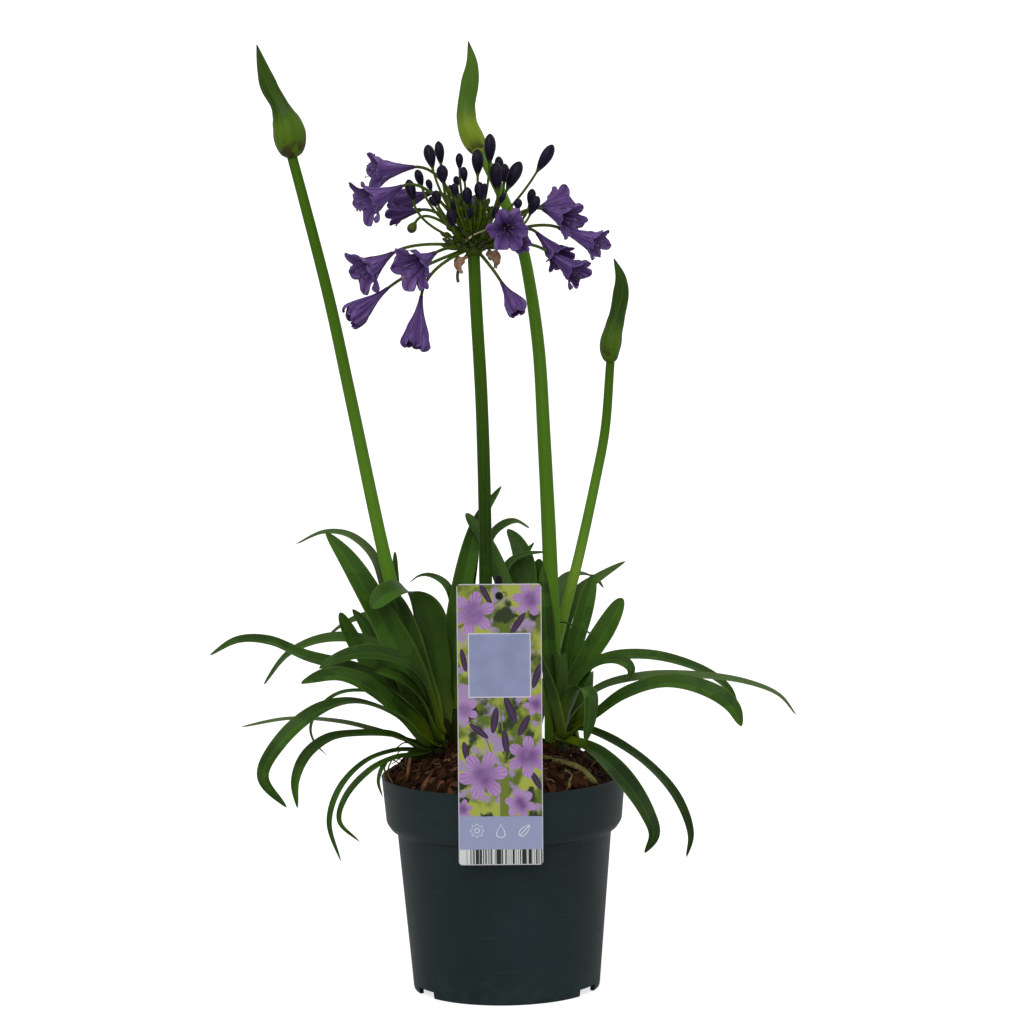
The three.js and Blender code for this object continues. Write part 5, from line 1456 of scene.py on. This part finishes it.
# %% Printed motifs
def motif_frame(name, inputs, outputs):
    """A group that already has the place measured from a motif's middle, turned by Turn."""
    named = ["Across", "Up", "Middle across", "Middle up", "Turn", *inputs]
    _, given, give = new_group(name, named, outputs)
    dx, dy = given["Across"] - given["Middle across"], given["Up"] - given["Middle up"]
    c, s = reckon("COSINE", given["Turn"]), reckon("SINE", given["Turn"])
    return given, give, dx * c + dy * s, dy * c - dx * s


def block_group():
    """1 inside |u| < Half width and |v| < Half height, with an edge 0.2 mm soft."""
    given, give, u, v = motif_frame("Printed block", ["Half width", "Half height"], ["Mask"])
    inside = reckon("MINIMUM", given["Half width"] - abs(u), given["Half height"] - abs(v))
    return give(Mask=rise(inside, -0.1, 0.1))


def oval_group():
    """1 inside a^2 + b^2 < 1, with b = v / Half height and a = u / (Half width (1 - Taper b)). Shade is |a|,
    how far out a place is from the middle line."""
    named = ["Half width", "Half height", "Taper"]
    given, give, u, v = motif_frame("Printed oval", named, ["Mask", "Shade"])
    b = v / given["Half height"]
    a = u / (given["Half width"] * (1.0 - b * given["Taper"]))
    return give(Mask=rise(a * a + b * b, 1.06, 0.94), Shade=abs(a))


def blossom_group():
    """1 where the distance from the middle is under Radius (Waist + (1 - Waist) |cos(Petals a / 2)|^0.7),
    a the angle. Shade is 1 on the pale parts: petals grow paler outwards and have thin dark lines."""
    given, give, u, v = motif_frame("Printed blossom", ["Radius", "Petals", "Waist"], ["Mask", "Shade"])
    far = reckon("SQRT", u * u + v * v) / given["Radius"]
    half = reckon("ARCTAN2", v, u) * (given["Petals"] * 0.5)
    swing = reckon("POWER", abs(reckon("COSINE", half)), 0.7)
    edge = (1.0 - given["Waist"]) * swing + given["Waist"]
    lines = abs(reckon("SINE", half * 5.0))
    return give(Mask=rise(edge - far, -0.02, 0.03), Shade=rise(far, 0.1, 0.75) * rise(lines, 0.0, 0.35))


BLOCK, OVAL, BLOSSOM = block_group(), oval_group(), blossom_group()
print("motifs", BLOCK.name, OVAL.name, BLOSSOM.name)

# %% [markdown]
# ### The print
# From back to front there is a blurred garden in greens and lilac, with stalks, dark buds and open
# blossoms. Over them lie a plain framed panel, a plain band with a sun, a drop and a leaf as care signs,
# and a strip of bars at the foot. The card keeps a pale edge all round, and its back is not printed.

# %% Print layout, in millimetres
CARD_PLACE, CARD_LEAN, CARD_HALF, CARD_LONG = (-0.0008, -0.097, 0.3298), np.radians(0.5), 32.0, 215.0
CARD_EDGE, SIGN_LINE = 0.7, 0.5
PRINTED_BLOCKS = [
    (0.0, -62.0, 0.0, 23.6, 24.6), (0.0, -62.0, 0.0, 22.8, 23.8), (0.0, -190.3, 0.0, 33.0, 12.7),
    (0.0, -CARD_LONG / 2, 0.0, CARD_HALF - CARD_EDGE, CARD_LONG / 2 - CARD_EDGE),
]
PRINTED_OVALS = [
    (-10, -8, 0.5, 2.2, 9), (14, -30, -0.6, 2.4, 10), (-27, -58, 0.2, 2.2, 9), (28, -70, -0.3, 2.6, 10),
    (8, -96, 0.4, 3.0, 11), (-4, -104, -0.15, 2.8, 10), (18, -108, -0.5, 2.6, 9), (-16, -112, 0.9, 2.4, 9),
    (-26, -128, 0.2, 2.4, 8), (4, -120, 0.1, 2.6, 9), (27, -150, 0.5, 2.4, 8),
]
PRINTED_BLOSSOMS = [
    (-20, -22, 17, 0.3), (23, -12, 13, 0.9), (27, -92, 9, 0.1), (-27, -96, 11, 0.6), (21, -132, 16, 0.5),
    (-13, -146, 19, 0.15), (15, -168, 12, 0.8), (-29, -172, 8, 0.2),
]
PRINTED_STALKS = [
    (-4, -16, -0.9, 0.5, 13), (18, -18, 0.5, 0.5, 12), (2, -112, 0.1, 0.6, 20), (12, -118, -0.4, 0.5, 16),
    (-9, -122, 0.35, 0.5, 15), (3, -160, 0.0, 3.4, 20),
]
CARE_SIGNS = [
    (OVAL, (-18.0, -188.5, 0.0), 2.0, 2.0, 0.0), (BLOSSOM, (-18.0, -188.5, 0.0), 5.4, 8.0, 0.5),
    (OVAL, (0.0, -188.8, 0.0), 2.9, 5.2, 0.8), (OVAL, (18.0, -188.5, -0.75), 2.7, 5.6, 0.3),
    (BLOCK, (17.8, -188.7, -0.75), 0.3, 5.2),
]
print("printed blossoms", len(PRINTED_BLOSSOMS), "buds", len(PRINTED_OVALS))

# %% Printed card
def card_place(tree):
    """Millimetres across, towards the back and up, from the middle of the card's top edge."""
    laid = {"Location": CARD_PLACE, "Rotation": (0.0, CARD_LEAN, 0.0), "Scale": (MM, MM, MM)}
    return wire(tree, "Mapping", {"Vector": here(tree), **laid}, vector_type="TEXTURE").parts()


def motif(x, z, group, *given):
    """What a printed motif gives at a place on the card. The rest fills the group's other inputs in order."""
    inputs = dict(enumerate((x, z, *given)))
    return [Wire(socket) for socket in node(x.tree, "Group", inputs, node_tree=group).outputs]


def picture(x, z):
    """The garden picture: blurred greens and lilac, then stalks, buds and blossoms, each over the last."""
    soft, broad, dim = (mottle(x.tree, scale) for scale in (42.0, 95.0, 70.0))
    back = coated(tint(rise(soft, 0.25, 0.75), "5d6f1f", "a7b04c"), (rise(broad, 0.55, 0.95), "a58fb4"),
                  (rise(dim, 0.3, 0.05), "2c3a1c"))
    for stalk in PRINTED_STALKS:
        back = tint(motif(x, z, BLOCK, *stalk)[0], back, "6d7d2c")
    for oval in PRINTED_OVALS:
        mask, shade = motif(x, z, OVAL, *oval)
        back = tint(mask, back, tint(shade, "4d3558", "2a1a33"))
    for across, up, radius, turn in PRINTED_BLOSSOMS:
        mask, shade = motif(x, z, BLOSSOM, across, up, turn, radius, 6.0, 0.42)
        petal = coated(tint(shade, "6a3f80", "ae86bd"), (broad * 0.35, "c3a6d2"))
        back = tint(mask, back, petal)
    return back


def care_signs(x, z):
    """Thin pale outlines: each is a motif less the same motif drawn 0.5 mm smaller."""
    signs = 0.0
    for group, place, wide, *others in CARE_SIGNS:
        outer = motif(x, z, group, *place, wide, *others)[0]
        smaller = others if group is BLOSSOM else [others[0] - SIGN_LINE, *others[1:]]
        inner = motif(x, z, group, *place, wide - SIGN_LINE, *smaller)[0]
        signs = reckon("MAXIMUM", signs, reckon("SUBTRACT", outer, inner, clamp=True))
    return signs


def bars(x):
    """Upright bars: strips 0.8 mm wide, each black, grey or white by chance, and a bare left margin."""
    strip = reckon("FLOOR", x / 0.8)
    chance = wire(x.tree, "TexWhiteNoise", {"W": strip}, "Value", noise_dimensions="1D")
    bare = [(reckon("GREATER_THAN", chance, 0.6), "d9ded9"), (reckon("LESS_THAN", x, -26.0), "d9ded9")]
    return coated(tint(reckon("GREATER_THAN", chance, 0.38), "272a2a", "9a9c9c"), *bare)


def printed_card():
    """Picture, panel, band with signs and bars in front; plain pale card behind and round the edge."""
    made, tree = new_material("Printed card", IOR=1.5, Specular_IOR_Level=0.3)
    x, y, z = card_place(tree)
    border, panel, band, inside = (motif(x, z, BLOCK, *block)[0] for block in PRINTED_BLOCKS)
    art = coated(
        picture(x, z),
        (border, "d6d3e2"),
        (panel, tint(mottle(tree, 60.0), "8c94b6", "969dc0")),
        (band, "9aa2c4"),
        (care_signs(x, z), "e9ebf5"),
        (rise(z, -202.9, -203.1), bars(x)),
        (1.0 - inside, "c9c3cf"),
        (rise(y, -0.1, 0.1), "c8c8cc"),
    )
    grain = mottle(tree, 1500.0)
    return feed(made, art, grain * 0.08 + 0.36, grain, bump=0.05, depth=0.0001)


# %% Card and peg finishes
def refinish(name, material):
    """A solid that keeps its shape gets its real finish in place of the plain one."""
    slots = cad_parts[name].data.materials
    slots.clear()
    slots.append(material)


refinish("care_label", printed_card())
refinish("label_stake", plastic("Black peg plastic", "0b0c0d", "14161a", "2c2f33", 0.42, 0.3))
print("card nodes", len(bpy.data.materials["Printed card"].node_tree.nodes))
